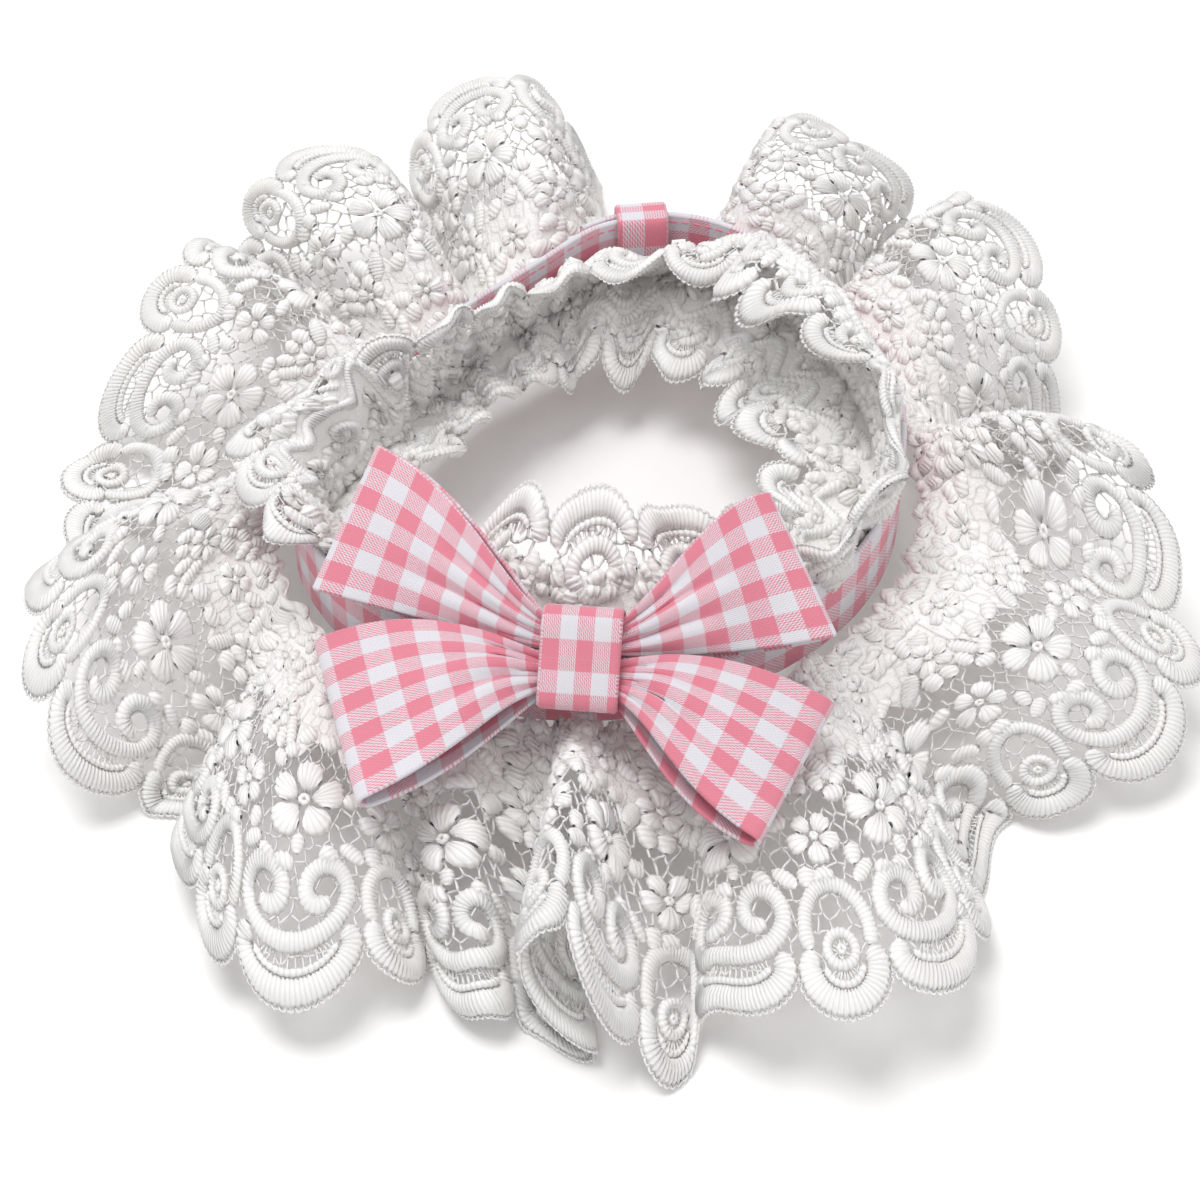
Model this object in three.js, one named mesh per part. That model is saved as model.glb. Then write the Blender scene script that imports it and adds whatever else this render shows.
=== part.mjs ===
// Lace collar, laid flat: a gathered lace flounce and a double-edged lace frill
// on a gingham neck band, with a keeper at the back and a four-loop bow in front.
// Millimetres. X to the right, Y to the back, Z up; the hem rests on Z = 0.
import * as THREE from "three";

// ---- driving sizes ----
const LACE_WALL = 1.5;
const FRILL_WALL = 1.2;
const BAND_WALL = 1.5;
const BAND_HEIGHT = 18;
const BAND_OVERLAP_SHIFT = 1.9;
const KEEPER_WALL = 1.2;
const KEEPER_WIDTH = 10;
const BOW_WALL = 1.2;
const LAYER_GAP = 0.35;
const SEAM_GAP = 0.3;
const SPLIT_GAP = 0.6;
const SEAM_DROP = 5;
const FLOOR_CLEAR = 0.75;

// Lace repeat: one broad scallop and one narrow scallop along the hem.
const REPEATS = 26;
const BROAD_SHARE = 0.6;
const BROAD_CELLS = 5;
const NARROW_CELLS = 3;
const REPEAT_CELLS = BROAD_CELLS + NARROW_CELLS;
const DEPTH_CELLS = 10;
const FLOUNCE_DEPTH = 62;
const BROAD_SCALLOP = 5;
const NARROW_SCALLOP = 4;
const SCALLOP_DROP = 3;
const RIM_RAISE = 0.9;
const PETAL_RAISE = 0.6;

function table(columns, rows) {
  const names = columns.split(" ");
  return rows.map((row) => Object.fromEntries(names.map((name, k) => [name, row[k]])));
}

// The band's middle line: kidney shaped, pressed in along its left back.
const NECK_RING = table("deg radius height", [
  [0, 63, 24.5],
  [30, 62, 24.5],
  [60, 63, 25],
  [78, 62, 25],
  [92, 57, 25],
  [105, 49, 23.5],
  [125, 43, 22.5],
  [150, 41, 22],
  [175, 43, 22],
  [192, 50, 22.5],
  [207, 59.5, 24],
  [222, 62, 24.5],
  [245, 63, 25],
  [270, 64, 25],
  [305, 63.5, 25],
  [335, 64, 24.5],
]);

// Hem of the flounce, one row a flute: its valley, rising side, crest and falling side,
// each by angle, radius and height, and how far the crest arches above a straight drape.
const FLUTES = table(
  "valleyDeg valleyR valleyZ riseDeg riseR riseZ crestDeg crestR crestZ fallDeg fallR fallZ arch",
  [
    [93.8, 115.6, -4, 98.9, 110.1, 24, 104.4, 111.8, 33, 113.0, 118.8, 20, 13],
    [117.5, 113.0, -5, 121.8, 102.5, 21, 128.0, 99.5, 33, 135.8, 110.6, 24, 13],
    [140.3, 114.0, -5, 149.5, 95.7, 26, 155.7, 96.7, 34, 167.6, 100.7, 18, 9],
    [178.9, 108.1, -5, 195.1, 100.4, 10, 207.6, 110.8, 27, 222.2, 118.9, 16, 10],
    [230.0, 104.5, -4, 235.6, 113.6, 8, 250.5, 131.6, 11, 258.6, 121.5, 12, 6],
    [262.0, 114.5, 1.5, 265.3, 120.5, 5, 268.4, 122.6, 8, 272.3, 122.5, -3, 6],
    [277.0, 129.0, 2.6, 270.6, 119.2, 14.5, 273.3, 119.6, 29, 279.6, 131.5, 8, 7],
    [283.8, 130.2, 1.5, 286.2, 124.5, 11, 291.5, 133.9, 19, 303.4, 136.2, 17, 4],
    [317.9, 110.3, -5, 324.2, 115.2, 6, 331.9, 125.6, 9, 339.8, 126.8, 15, 7],
    [348.2, 118.4, 20, 354.4, 114.0, 27, 358.9, 105.3, 36, 366.5, 99.3, 22, 11],
    [378.1, 102.1, -5, 384.4, 105.0, 16, 397.7, 110.6, 29, 405.0, 103.7, 34, 10],
    [415.0, 114.6, -5, 417.0, 116.2, 18, 424.0, 107.6, 31, 430.5, 103.3, 34, 12],
  ],
);
const FLOUNCE_END = { deg: 437.4, radius: 116, height: -4 };
const FLOUNCE_SEAM = { start: 92.6, end: 435.5 };
const SPLIT_FLUTE = 4.9;

// The frill: a strip with two scalloped edges, gathered on its middle line.
const FRILL = table("deg upperR upperZ lowerR lowerZ kneeOut kneeUp", [
  [0, 58, 45, 38, 27, 5, 13],
  [20, 45, 45, 33, 23, 5, 20],
  [42, 36, 43, 34, 19, 4, 25],
  [60, 45, 38, 36, 17, 1, 17],
  [71, 43, 37.5, 35, 16, 0, 2],
  [90, 38, 37, 32, 14, 0, 0],
  [108, 33, 39, 27, 17, 0, 0],
  [130, 30, 42, 24, 21, 0, 0],
  [155, 31, 44, 23, 22, 0, 0],
  [175, 42, 42, 24, 21, 0, 0],
  [190, 62, 37, 32, 20, 0, 0],
  [203, 69, 35, 40, 20, 0, 0],
  [222, 66, 39, 46, 20, 0, 0],
  [236, 55, 38, 46, 20, 0, 0],
  [247, 46, 42, 46, 19, 0, 0],
  [258, 41, 48, 46, 19, 0, 0],
  [285, 40, 48, 46, 19, 0, 0],
  [305, 47, 47, 46, 21, 0, 0],
  [322, 64, 44, 44, 26, 0, 0],
  [340, 65, 45, 40, 29, 0, 2],
]);
const FRILL_WAVES = 15;
const FRILL_WAVE_CELLS = 10;
const FRILL_EDGE_CELLS = 3;
const FRILL_WAVE = 2.7;
const FRILL_WAVE_SHARE = 0.043;
const FRILL_SIDE_SHARE = 0.03;
const FRILL_INSET = 3.8;

// The bow: its knot's centre and lean, and each loop's corners.
const KNOT = { x: 6.8, y: -69.9, z: 40, lean: 45, width: 13.4, height: 18.6, depth: 9.2, wall: 1.2 };
const BOW_LOOPS = table("name side midTop outerTop outerBottom midBottom rootTop rootBottom puff", [
  ["bow_loop_upper_left", -1, [-13, -48, 57], [-32, -34, 54], [-41, -55, 38], [-18, -60, 36], 4.7, 0.9, 3.4],
  ["bow_loop_upper_right", 1, [24, -48, 57], [36, -39, 54], [49, -59, 39.5], [31, -63.5, 36], 4.7, 0.9, 3.4],
  ["bow_loop_lower_left", -1, [-18, -60, 42], [-41, -61, 31], [-28, -95, 29], [-8, -86, 33], -0.9, -4.7, 3.4],
  ["bow_loop_lower_right", 1, [28, -66, 42], [50, -67, 31], [39, -98, 30], [21, -90.5, 33], -0.9, -4.7, 3.4],
]);
const LOOP_LENGTH_CELLS = 20;
const LOOP_WIDTH_CELLS = 5;
const LOOP_PLEATS = 2.5;
const LOOP_PLEAT_DEPTH = 0.8;
const LOOP_NECK = 11;
const LOOP_FOLD_START = 0.9;
const LOOP_FOLD_SHARE = 0.03;
const LOOP_FOLD_RADIUS = 1.6;
const LOOP_ROOT_GAP = 0.95;

// Cells left open in each lace repeat, where the net between the motifs is widest.
const NET_GAPS = table("column row", [
  [0, 6],
  [4, 6],
  [5, 4],
  [7, 4],
  [0, 2],
  [4, 2],
]);

// ---- curves ----
// A smooth curve through the rows of a table at the places `at`, all columns at once.
function smoothTable(at, rows, closed) {
  const places = closed ? [...at.map((x) => x - 360), ...at, ...at.map((x) => x + 360)] : at;
  const values = closed ? [...rows, ...rows, ...rows] : rows;
  const last = places.length - 1;
  const slopes = values.map((row, i) =>
    row.map((value, c) => {
      if (i === 0) return (values[1][c] - value) / (places[1] - places[0]);
      if (i === last) return (value - values[i - 1][c]) / (places[i] - places[i - 1]);
      const before = places[i] - places[i - 1];
      const after = places[i + 1] - places[i];
      const rise = before * before * values[i + 1][c] - after * after * values[i - 1][c];
      return (rise + (after * after - before * before) * value) / (before * after * (before + after));
    }),
  );
  return (x) => {
    const place = closed ? ((x % 360) + 360) % 360 : x;
    let k = 0;
    while (k < last - 1 && place >= places[k + 1]) k++;
    const step = places[k + 1] - places[k];
    const t = (place - places[k]) / step;
    const t2 = t * t;
    const t3 = t2 * t;
    return values[k].map(
      (value, c) =>
        (2 * t3 - 3 * t2 + 1) * value +
        (t3 - 2 * t2 + t) * step * slopes[k][c] +
        (3 * t2 - 2 * t3) * values[k + 1][c] +
        (t3 - t2) * step * slopes[k + 1][c],
    );
  };
}

const ringCurve = smoothTable(
  NECK_RING.map((row) => row.deg),
  NECK_RING.map((row) => [row.radius, row.height]),
  true,
);

function polar(deg, radius, z) {
  const angle = THREE.MathUtils.degToRad(deg);
  return new THREE.Vector3(radius * Math.cos(angle), radius * Math.sin(angle), z);
}

// The band's last turn steps outwards, to pass outside its first end.
function bandShift(deg) {
  return BAND_OVERLAP_SHIFT * THREE.MathUtils.smoothstep(deg, 395, 436);
}

// ---- the flounce ----
const hemKnots = FLUTES.flatMap((f) => [
  [f.valleyDeg, f.valleyR, f.valleyZ, 0],
  [f.riseDeg, f.riseR, f.riseZ, 0.6 * f.arch],
  [f.crestDeg, f.crestR, f.crestZ, f.arch],
  [f.fallDeg, f.fallR, f.fallZ, 0.6 * f.arch],
]);
hemKnots.push([FLOUNCE_END.deg, FLOUNCE_END.radius, FLOUNCE_END.height, 0]);
const hemCurve = smoothTable(
  hemKnots.map((_, k) => k / 4),
  hemKnots,
  false,
);
const seamKnots = [];
for (let k = 0; k <= 2 * FLUTES.length; k++) {
  const even = FLOUNCE_SEAM.start + ((FLOUNCE_SEAM.end - FLOUNCE_SEAM.start) * k) / (2 * FLUTES.length);
  const hem = k % 2 ? hemKnots[2 * k][0] : hemKnots[Math.min(2 * k, hemKnots.length - 1)][0];
  seamKnots.push(0.5 * even + 0.5 * hem);
}
seamKnots[0] = FLOUNCE_SEAM.start;
seamKnots[seamKnots.length - 1] = FLOUNCE_SEAM.end;
seamKnots.sort((a, b) => a - b);
const seamCurve = smoothTable(
  seamKnots.map((_, k) => k / 2),
  seamKnots.map((deg) => [deg]),
  false,
);

// A point of the flounce: `flute` counts the flutes round the collar, `down` runs 0 at the band to 1 at the hem.
function flouncePoint(flute, down) {
  const [hemDeg, hemR, hemZ, arch] = hemCurve(flute);
  const [seamDeg] = seamCurve(flute);
  const [ringR, ringZ] = ringCurve(seamDeg);
  const gather = 0.7 * (1 + Math.cos(6 * Math.PI * flute)) * (1 - Math.min(down, 1)) ** 2;
  const seamR = ringR + bandShift(seamDeg) + BAND_WALL / 2 + SEAM_GAP + LACE_WALL / 2 + 1.1 + gather;
  const seamZ = ringZ - SEAM_DROP;
  const dr = hemR - seamR;
  const dz = hemZ - seamZ;
  const chord = Math.hypot(dr, dz);
  const bulge = 4 * down * (1 - down) * arch;
  const deg = seamDeg + (hemDeg - seamDeg) * Math.max(down, 0);
  const radius = seamR + dr * down - (dz / chord) * bulge;
  const z = seamZ + dz * down + (dr / chord) * bulge;
  return polar(deg, radius, Math.max(z, FLOOR_CLEAR));
}

// Flute count at an even distance along the hem.
const hemTrack = [];
{
  const steps = 3600;
  let length = 0;
  let last = flouncePoint(0, 1);
  for (let k = 0; k <= steps; k++) {
    const flute = (FLUTES.length * k) / steps;
    const point = flouncePoint(flute, 1);
    length += point.distanceTo(last);
    hemTrack.push([flute, length]);
    last = point;
  }
}
const HEM_LENGTH = hemTrack[hemTrack.length - 1][1];
function fluteAt(distance) {
  const wanted = THREE.MathUtils.clamp(distance, 0, HEM_LENGTH);
  let low = 0;
  let high = hemTrack.length - 1;
  while (high - low > 1) {
    const middle = (low + high) >> 1;
    if (hemTrack[middle][1] > wanted) high = middle;
    else low = middle;
  }
  const share = (wanted - hemTrack[low][1]) / (hemTrack[high][1] - hemTrack[low][1] || 1);
  return THREE.MathUtils.lerp(hemTrack[low][0], hemTrack[high][0], share);
}

// How far down the lace reaches at a place in the repeat, 0 to 1.
function scallop(place) {
  const broad = place < BROAD_SHARE;
  const share = broad ? place / BROAD_SHARE : (place - BROAD_SHARE) / (1 - BROAD_SHARE);
  const reach = (broad ? BROAD_SCALLOP : NARROW_SCALLOP) * Math.sin(Math.PI * share) ** 0.7;
  return 1 + (reach - SCALLOP_DROP) / FLOUNCE_DEPTH;
}

// Distance along the hem of the k-th line between lace cells.
function cellLine(k) {
  const repeat = Math.floor(k / REPEAT_CELLS);
  const cell = k - repeat * REPEAT_CELLS;
  const place =
    cell <= BROAD_CELLS
      ? (BROAD_SHARE * cell) / BROAD_CELLS
      : BROAD_SHARE + ((1 - BROAD_SHARE) * (cell - BROAD_CELLS)) / NARROW_CELLS;
  return { along: ((repeat + place) * HEM_LENGTH) / REPEATS, place: place % 1 };
}

// ---- walls ----
// A closed wall between two grids of points, outer(i, j) and inner(i, j); cells that `open` names are left out.
function wallMesh(name, material, columns, rows, outer, inner, open = () => false, closed = false) {
  const lines = closed ? columns : columns + 1;
  const count = lines * (rows + 1);
  const positions = new Float32Array(count * 6);
  for (let i = 0; i < lines; i++) {
    for (let j = 0; j <= rows; j++) {
      const at = i * (rows + 1) + j;
      outer(i, j).toArray(positions, at * 3);
      inner(i, j).toArray(positions, (at + count) * 3);
    }
  }
  const id = (i, j) => (i % lines) * (rows + 1) + j;
  const kept = (i, j) => {
    if (j < 0 || j >= rows) return false;
    if (!closed && (i < 0 || i >= columns)) return false;
    return !open((i + columns) % columns, j);
  };
  const index = [];
  const quad = (a, b, c, d) => index.push(a, b, c, a, c, d);
  for (let i = 0; i < columns; i++) {
    for (let j = 0; j < rows; j++) {
      if (!kept(i, j)) continue;
      const a = id(i, j);
      const b = id(i + 1, j);
      const c = id(i + 1, j + 1);
      const d = id(i, j + 1);
      quad(a, d, c, b);
      quad(a + count, b + count, c + count, d + count);
      if (!kept(i, j - 1)) quad(a, b, b + count, a + count);
      if (!kept(i + 1, j)) quad(b, c, c + count, b + count);
      if (!kept(i, j + 1)) quad(c, d, d + count, c + count);
      if (!kept(i - 1, j)) quad(d, a, a + count, d + count);
    }
  }
  const geometry = new THREE.BufferGeometry();
  geometry.setAttribute("position", new THREE.BufferAttribute(positions, 3));
  geometry.setIndex(index);
  const mesh = new THREE.Mesh(geometry, material);
  mesh.name = name;
  return mesh;
}

// The unit normal of a surface point(a, b), turned by `sense`.
function normalOf(point, a, b, stepA, stepB, sense) {
  const alongA = point(a + stepA, b).sub(point(a - stepA, b));
  const alongB = point(a, b + stepB).sub(point(a, b - stepB));
  return alongA.cross(alongB).normalize().multiplyScalar(sense);
}

function lace(colour) {
  return new THREE.MeshStandardMaterial({ color: colour, roughness: 0.9 });
}

// ---- flounce solids ----
function flounceMesh(name, firstLine, lastLine, startShift, endShift) {
  const columns = lastLine - firstLine;
  const cache = new Map();
  const node = (i, j) => {
    const key = i * 100 + j;
    if (!cache.has(key)) {
      const line = cellLine(firstLine + i);
      const shift = i === 0 ? startShift : i === columns ? endShift : 0;
      const along = THREE.MathUtils.clamp(line.along + shift, 0, HEM_LENGTH);
      const down = (j / DEPTH_CELLS) * scallop(line.place);
      const flute = fluteAt(along);
      const surface = (a, b) => flouncePoint(fluteAt(a), b);
      const a = THREE.MathUtils.clamp(along, 2.6, HEM_LENGTH - 2.6);
      const normal = normalOf(surface, a, THREE.MathUtils.clamp(down, 0.036, 1.1), 2.5, 0.035, -1);
      const fromHem = (1 - j / DEPTH_CELLS) * FLOUNCE_DEPTH;
      const rim = j === DEPTH_CELLS ? RIM_RAISE : j === DEPTH_CELLS - 1 ? 0.6 * RIM_RAISE : 0;
      const petal = Math.hypot((line.place - BROAD_SHARE / 2) * 42, fromHem - 31) < 9 ? PETAL_RAISE : 0;
      const middle = flouncePoint(flute, down);
      const top = middle.clone().addScaledVector(normal, LACE_WALL / 2 + rim + petal);
      const base = middle.clone().addScaledVector(normal, -LACE_WALL / 2);
      if (base.z < 0.45) base.z = 0;
      if (top.z < 1.3) top.z = 1.3;
      cache.set(key, { top, base });
    }
    return cache.get(key);
  };
  const open = (i, j) => {
    const line = firstLine + i;
    if (i === 0 || i === columns - 1) return false;
    return NET_GAPS.some((gap) => gap.column === line % REPEAT_CELLS && gap.row === j);
  };
  return wallMesh(
    name,
    lace("#f2f0ec"),
    columns,
    DEPTH_CELLS,
    (i, j) => node(i, j).top,
    (i, j) => node(i, j).base,
    open,
  );
}

const lineCount = REPEATS * REPEAT_CELLS;
let splitLine = 0;
while (fluteAt(cellLine(splitLine).along) < SPLIT_FLUTE) splitLine++;

// ---- frill ----
const frillCurve = smoothTable(
  FRILL.map((row) => row.deg),
  FRILL.map((row) => [row.upperR, row.upperZ, row.lowerR, row.lowerZ, row.kneeOut, row.kneeUp]),
  true,
);

// A point of the frill: `across` runs -1 at the lower edge, 0 on the gathers, 1 at the upper edge.
function frillPoint(deg, across) {
  const [upperR, upperZ, lowerR, lowerZ, kneeOut, kneeUp] = frillCurve(deg);
  const [ringR, ringZ] = ringCurve(deg);
  const phase = THREE.MathUtils.degToRad(deg) * FRILL_WAVES;
  const upper = across > 0;
  const t = Math.abs(across);
  const wave = upper ? phase : phase + 1.2;
  const reach = upper ? upperR : lowerR;
  const edgeR = reach + Math.min(FRILL_WAVE, FRILL_WAVE_SHARE * reach) * Math.sin(wave);
  const edgeZ = (upper ? upperZ : lowerZ) + (upper ? 1.5 : 2.2) * Math.cos(wave);
  const over = THREE.MathUtils.smoothstep(upperR - ringR, -2, 8);
  const kneeR = upper ? ringR - 6 + 2 * over + kneeOut : ringR - 12;
  const kneeZ = upper ? THREE.MathUtils.lerp(ringZ + 9, upperZ + 17, over) + kneeUp : ringZ - 1;
  const a = (1 - t) * (1 - t);
  const b = 2 * t * (1 - t);
  const c = t * t;
  const radius = a * (ringR - FRILL_INSET) + b * kneeR + c * edgeR;
  const z = a * (ringZ - 4) + b * kneeZ + c * edgeZ;
  const side = FRILL_SIDE_SHARE * Math.cos(phase + 0.6) * t;
  return polar(deg + THREE.MathUtils.radToDeg(side), radius, z);
}

function frillMesh() {
  const columns = FRILL_WAVES * FRILL_WAVE_CELLS;
  const rows = 2 * FRILL_EDGE_CELLS;
  const node = (i, j, sign) => {
    const deg = (360 * i) / columns;
    const across = j / FRILL_EDGE_CELLS - 1;
    const place = (i / FRILL_WAVE_CELLS) % 1;
    const lobe = 1 + (1.6 * Math.abs(Math.sin(Math.PI * (2 * place + 0.25))) - 1) / 26;
    const reach = across * (Math.abs(across) === 1 ? lobe : 1);
    const normalAt = (place) => normalOf(frillPoint, deg, place, 0.4, 0.03, -1);
    const normal = across === 0 ? normalAt(-0.04).add(normalAt(0.04)) : normalAt(reach);
    if (across === 0) normal.divideScalar(Math.max(normal.lengthSq() / 2, 1));
    const rim = Math.abs(across) === 1 && sign > 0 ? 0.15 : 0;
    return frillPoint(deg, reach).addScaledVector(normal, sign * (FRILL_WALL / 2 + rim));
  };
  return wallMesh(
    "neck_frill",
    lace("#f4f2ee"),
    columns,
    rows,
    (i, j) => node(i, j, 1),
    (i, j) => node(i, j, -1),
    () => false,
    true,
  );
}

// ---- neck band and keeper ----
const BAND_START = 84;
const BAND_END = 456;
const BAND_COLUMNS = 93;
const gingham = new THREE.MeshStandardMaterial({ color: "#f2a3b3", roughness: 0.85 });

function bandMesh() {
  const node = (i, j, sign) => {
    const deg = BAND_START + ((BAND_END - BAND_START) * i) / BAND_COLUMNS;
    const [radius, height] = ringCurve(deg);
    return polar(deg, radius + bandShift(deg) + (sign * BAND_WALL) / 2, height + BAND_HEIGHT * (j - 0.5));
  };
  return wallMesh(
    "neck_band",
    gingham,
    BAND_COLUMNS,
    1,
    (i, j) => node(i, 1 - j, 1),
    (i, j) => node(i, 1 - j, -1),
  );
}

// A closed strap: the path goes round a rounded rectangle in the plane of `up` and `out`.
function strapMesh(name, centre, along, up, out, width, height, depth, wall, cells, shape) {
  const columns = cells;
  const node = (i, j, inside) => {
    const angle = (2 * Math.PI * i) / columns;
    const c = Math.cos(angle);
    const s = Math.sin(angle);
    const bulk = (Math.abs(c) ** shape + Math.abs(s) ** shape) ** (-1 / shape);
    const halfDepth = depth / 2 - (inside ? wall : 0);
    const halfHeight = height / 2 - (inside ? wall : 0);
    return centre
      .clone()
      .addScaledVector(out, halfDepth * bulk * c)
      .addScaledVector(up, halfHeight * bulk * s)
      .addScaledVector(along, width * (j - 0.5));
  };
  return wallMesh(
    name,
    gingham,
    columns,
    1,
    (i, j) => node(i, j, false),
    (i, j) => node(i, j, true),
    () => false,
    true,
  );
}

function keeperMesh() {
  const deg = BAND_START;
  const [radius, height] = ringCurve(deg);
  const before = ringCurve(deg - 1)[0];
  const after = ringCurve(deg + 1)[0];
  const along = polar(deg + 1, after, 0).sub(polar(deg - 1, before, 0)).normalize();
  const up = new THREE.Vector3(0, 0, 1);
  const out = along.clone().cross(up);
  const depth = BAND_WALL + BAND_OVERLAP_SHIFT + 2 * LAYER_GAP + 2 * KEEPER_WALL + 0.9;
  const centre = polar(deg, radius + BAND_OVERLAP_SHIFT / 2, height);
  const tall = BAND_HEIGHT + 2 * LAYER_GAP + 2 * KEEPER_WALL + 0.2;
  return strapMesh("band_keeper", centre, along, up, out, KEEPER_WIDTH, tall, depth, KEEPER_WALL, 24, 12);
}

// ---- bow ----
const lean = THREE.MathUtils.degToRad(KNOT.lean);
const knotCentre = new THREE.Vector3(KNOT.x, KNOT.y, KNOT.z);
const bowAcross = new THREE.Vector3(1, 0, 0);
const bowUp = new THREE.Vector3(0, Math.cos(lean), Math.sin(lean));
const bowFront = new THREE.Vector3(0, -Math.sin(lean), Math.cos(lean));

// A curve from a, leaving it towards b, bending near c and ending at d.
function bezier(a, b, c, d, t) {
  const u = 1 - t;
  return a
    .clone()
    .multiplyScalar(u * u * u)
    .addScaledVector(b, 3 * t * u * u)
    .addScaledVector(c, 3 * t * t * u)
    .addScaledVector(d, t * t * t);
}

// A point of a loop: `turn` runs 0 to 1 from the knot over the front, round the end fold and back behind.
function loopPoint(loop, turn, across) {
  const root = (height, out) =>
    knotCentre
      .clone()
      .addScaledVector(bowAcross, loop.side * out)
      .addScaledVector(bowUp, height);
  const side = turn < 0.5 ? 1 : -1;
  const along = 1 - Math.abs(1 - 2 * turn);
  const fold = (Math.max(along - LOOP_FOLD_START, 0) / (1 - LOOP_FOLD_START)) * (Math.PI / 2);
  const flat = Math.min(along / LOOP_FOLD_START, 1);
  const reach = flat + LOOP_FOLD_SHARE * Math.sin(fold);
  const [midTop, outerTop, outerBottom, midBottom] = [
    loop.midTop,
    loop.outerTop,
    loop.outerBottom,
    loop.midBottom,
  ].map((p) => new THREE.Vector3(...p));
  const top = bezier(root(loop.rootTop, 0.7), root(loop.rootTop, LOOP_NECK), midTop, outerTop, reach);
  const bottom = bezier(
    root(loop.rootBottom, 0.7),
    root(loop.rootBottom, LOOP_NECK),
    midBottom,
    outerBottom,
    reach,
  );
  const behind = 0.04 * (1 - Math.cos(Math.PI * turn)) * flat;
  const face = outerTop.clone().sub(midBottom).cross(outerBottom.clone().sub(midTop));
  face.normalize().multiplyScalar(Math.sign(face.dot(bowFront)));
  const front = bowFront.clone().lerp(face, THREE.MathUtils.smoothstep(reach, 0, 0.35)).normalize();
  const full = 0.4 + 0.6 * Math.sin(Math.PI * across);
  const puff = loop.puff * full * Math.sin(Math.PI * flat) * THREE.MathUtils.smoothstep(flat, 0.06, 0.5);
  const apart = LOOP_ROOT_GAP + (LOOP_FOLD_RADIUS - LOOP_ROOT_GAP) * THREE.MathUtils.smoothstep(flat, 0.5, 1);
  const layers = side * (apart + puff) * Math.cos(fold);
  const pleat = LOOP_PLEAT_DEPTH * Math.cos(2 * Math.PI * LOOP_PLEATS * across) * (1 - flat) ** 2;
  return top.lerp(bottom, across + behind).addScaledVector(front, layers + pleat);
}

function loopMesh(loop) {
  const node = (i, j, sign) => {
    const turn = i / LOOP_LENGTH_CELLS;
    const across = j / LOOP_WIDTH_CELLS;
    const surface = (a, b) => loopPoint(loop, a, b);
    const near = THREE.MathUtils.clamp(turn, 0.004, 0.996);
    const normal = normalOf(surface, near, across, 0.004, 0.02, -loop.side);
    return loopPoint(loop, turn, across).addScaledVector(normal, (sign * BOW_WALL) / 2);
  };
  const side = loop.side;
  return wallMesh(
    loop.name,
    gingham,
    LOOP_LENGTH_CELLS,
    LOOP_WIDTH_CELLS,
    (i, j) => node(i, j, side > 0 ? 1 : -1),
    (i, j) => node(i, j, side > 0 ? -1 : 1),
  );
}

// ---- assembly ----
const collar = new THREE.Group();
collar.name = "lace_collar";
collar.add(flounceMesh("flounce_left", 0, splitLine, 0, -SPLIT_GAP / 2));
collar.add(flounceMesh("flounce_right", splitLine, lineCount, SPLIT_GAP / 2, 0));
collar.add(frillMesh());
collar.add(bandMesh());
collar.add(keeperMesh());
for (const loop of BOW_LOOPS) collar.add(loopMesh(loop));
collar.add(
  strapMesh(
    "bow_knot",
    knotCentre,
    bowAcross,
    bowUp,
    bowFront,
    KNOT.width,
    KNOT.height,
    KNOT.depth,
    KNOT.wall,
    32,
    8,
  ),
);

// The frame's origin is under the middle of the whole collar.
const box = new THREE.Box3().setFromObject(collar);
const middle = box.getCenter(new THREE.Vector3());
for (const mesh of collar.children) mesh.geometry.translate(-middle.x, -middle.y, -box.min.z);

export default collar;
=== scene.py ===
"""Lace ruffle collar: satin-stitched lace gathered on a gingham neck band, with a keeper and a bow."""

import math

import bpy
import numpy as np
from mathutils import Matrix, Vector


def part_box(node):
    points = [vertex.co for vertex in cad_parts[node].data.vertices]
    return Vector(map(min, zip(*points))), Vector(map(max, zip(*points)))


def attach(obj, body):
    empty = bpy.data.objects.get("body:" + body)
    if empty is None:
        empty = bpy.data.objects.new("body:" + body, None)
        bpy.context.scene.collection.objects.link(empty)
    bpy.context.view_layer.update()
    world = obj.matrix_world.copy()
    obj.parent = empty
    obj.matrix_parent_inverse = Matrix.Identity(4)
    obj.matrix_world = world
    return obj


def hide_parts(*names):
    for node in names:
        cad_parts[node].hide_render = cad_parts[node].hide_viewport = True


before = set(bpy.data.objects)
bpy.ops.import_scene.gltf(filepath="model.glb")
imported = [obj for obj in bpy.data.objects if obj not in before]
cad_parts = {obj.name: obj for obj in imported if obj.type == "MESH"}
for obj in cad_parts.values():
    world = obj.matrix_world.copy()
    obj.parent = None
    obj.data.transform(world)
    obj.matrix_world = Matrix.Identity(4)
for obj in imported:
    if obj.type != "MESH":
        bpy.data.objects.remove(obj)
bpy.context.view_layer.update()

bl_info = {
    "name": "Lace Ruffle Collar",
    "version": (1, 0, 0),
    "blender": (4, 5, 0),
    "location": "View3D > Sidebar > Collar",
    "description": "Builds a satin-stitched lace collar with a gingham band and bow",
    "category": "Add Mesh",
}

# ---- driving sizes, in millimetres and degrees ----
MM = 0.001
BAND_WALL = 1.5
BAND_HEIGHT = 18.0
BAND_OVERLAP_SHIFT = 1.9
BAND_START, BAND_END = 84.0, 456.0
KEEPER_WALL = 1.2
KEEPER_WIDTH = 10.0
# The room inside the keeper past the layers it holds, outwards and upwards.
KEEPER_ROOM_OUT, KEEPER_ROOM_UP = 0.9, 0.2
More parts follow.
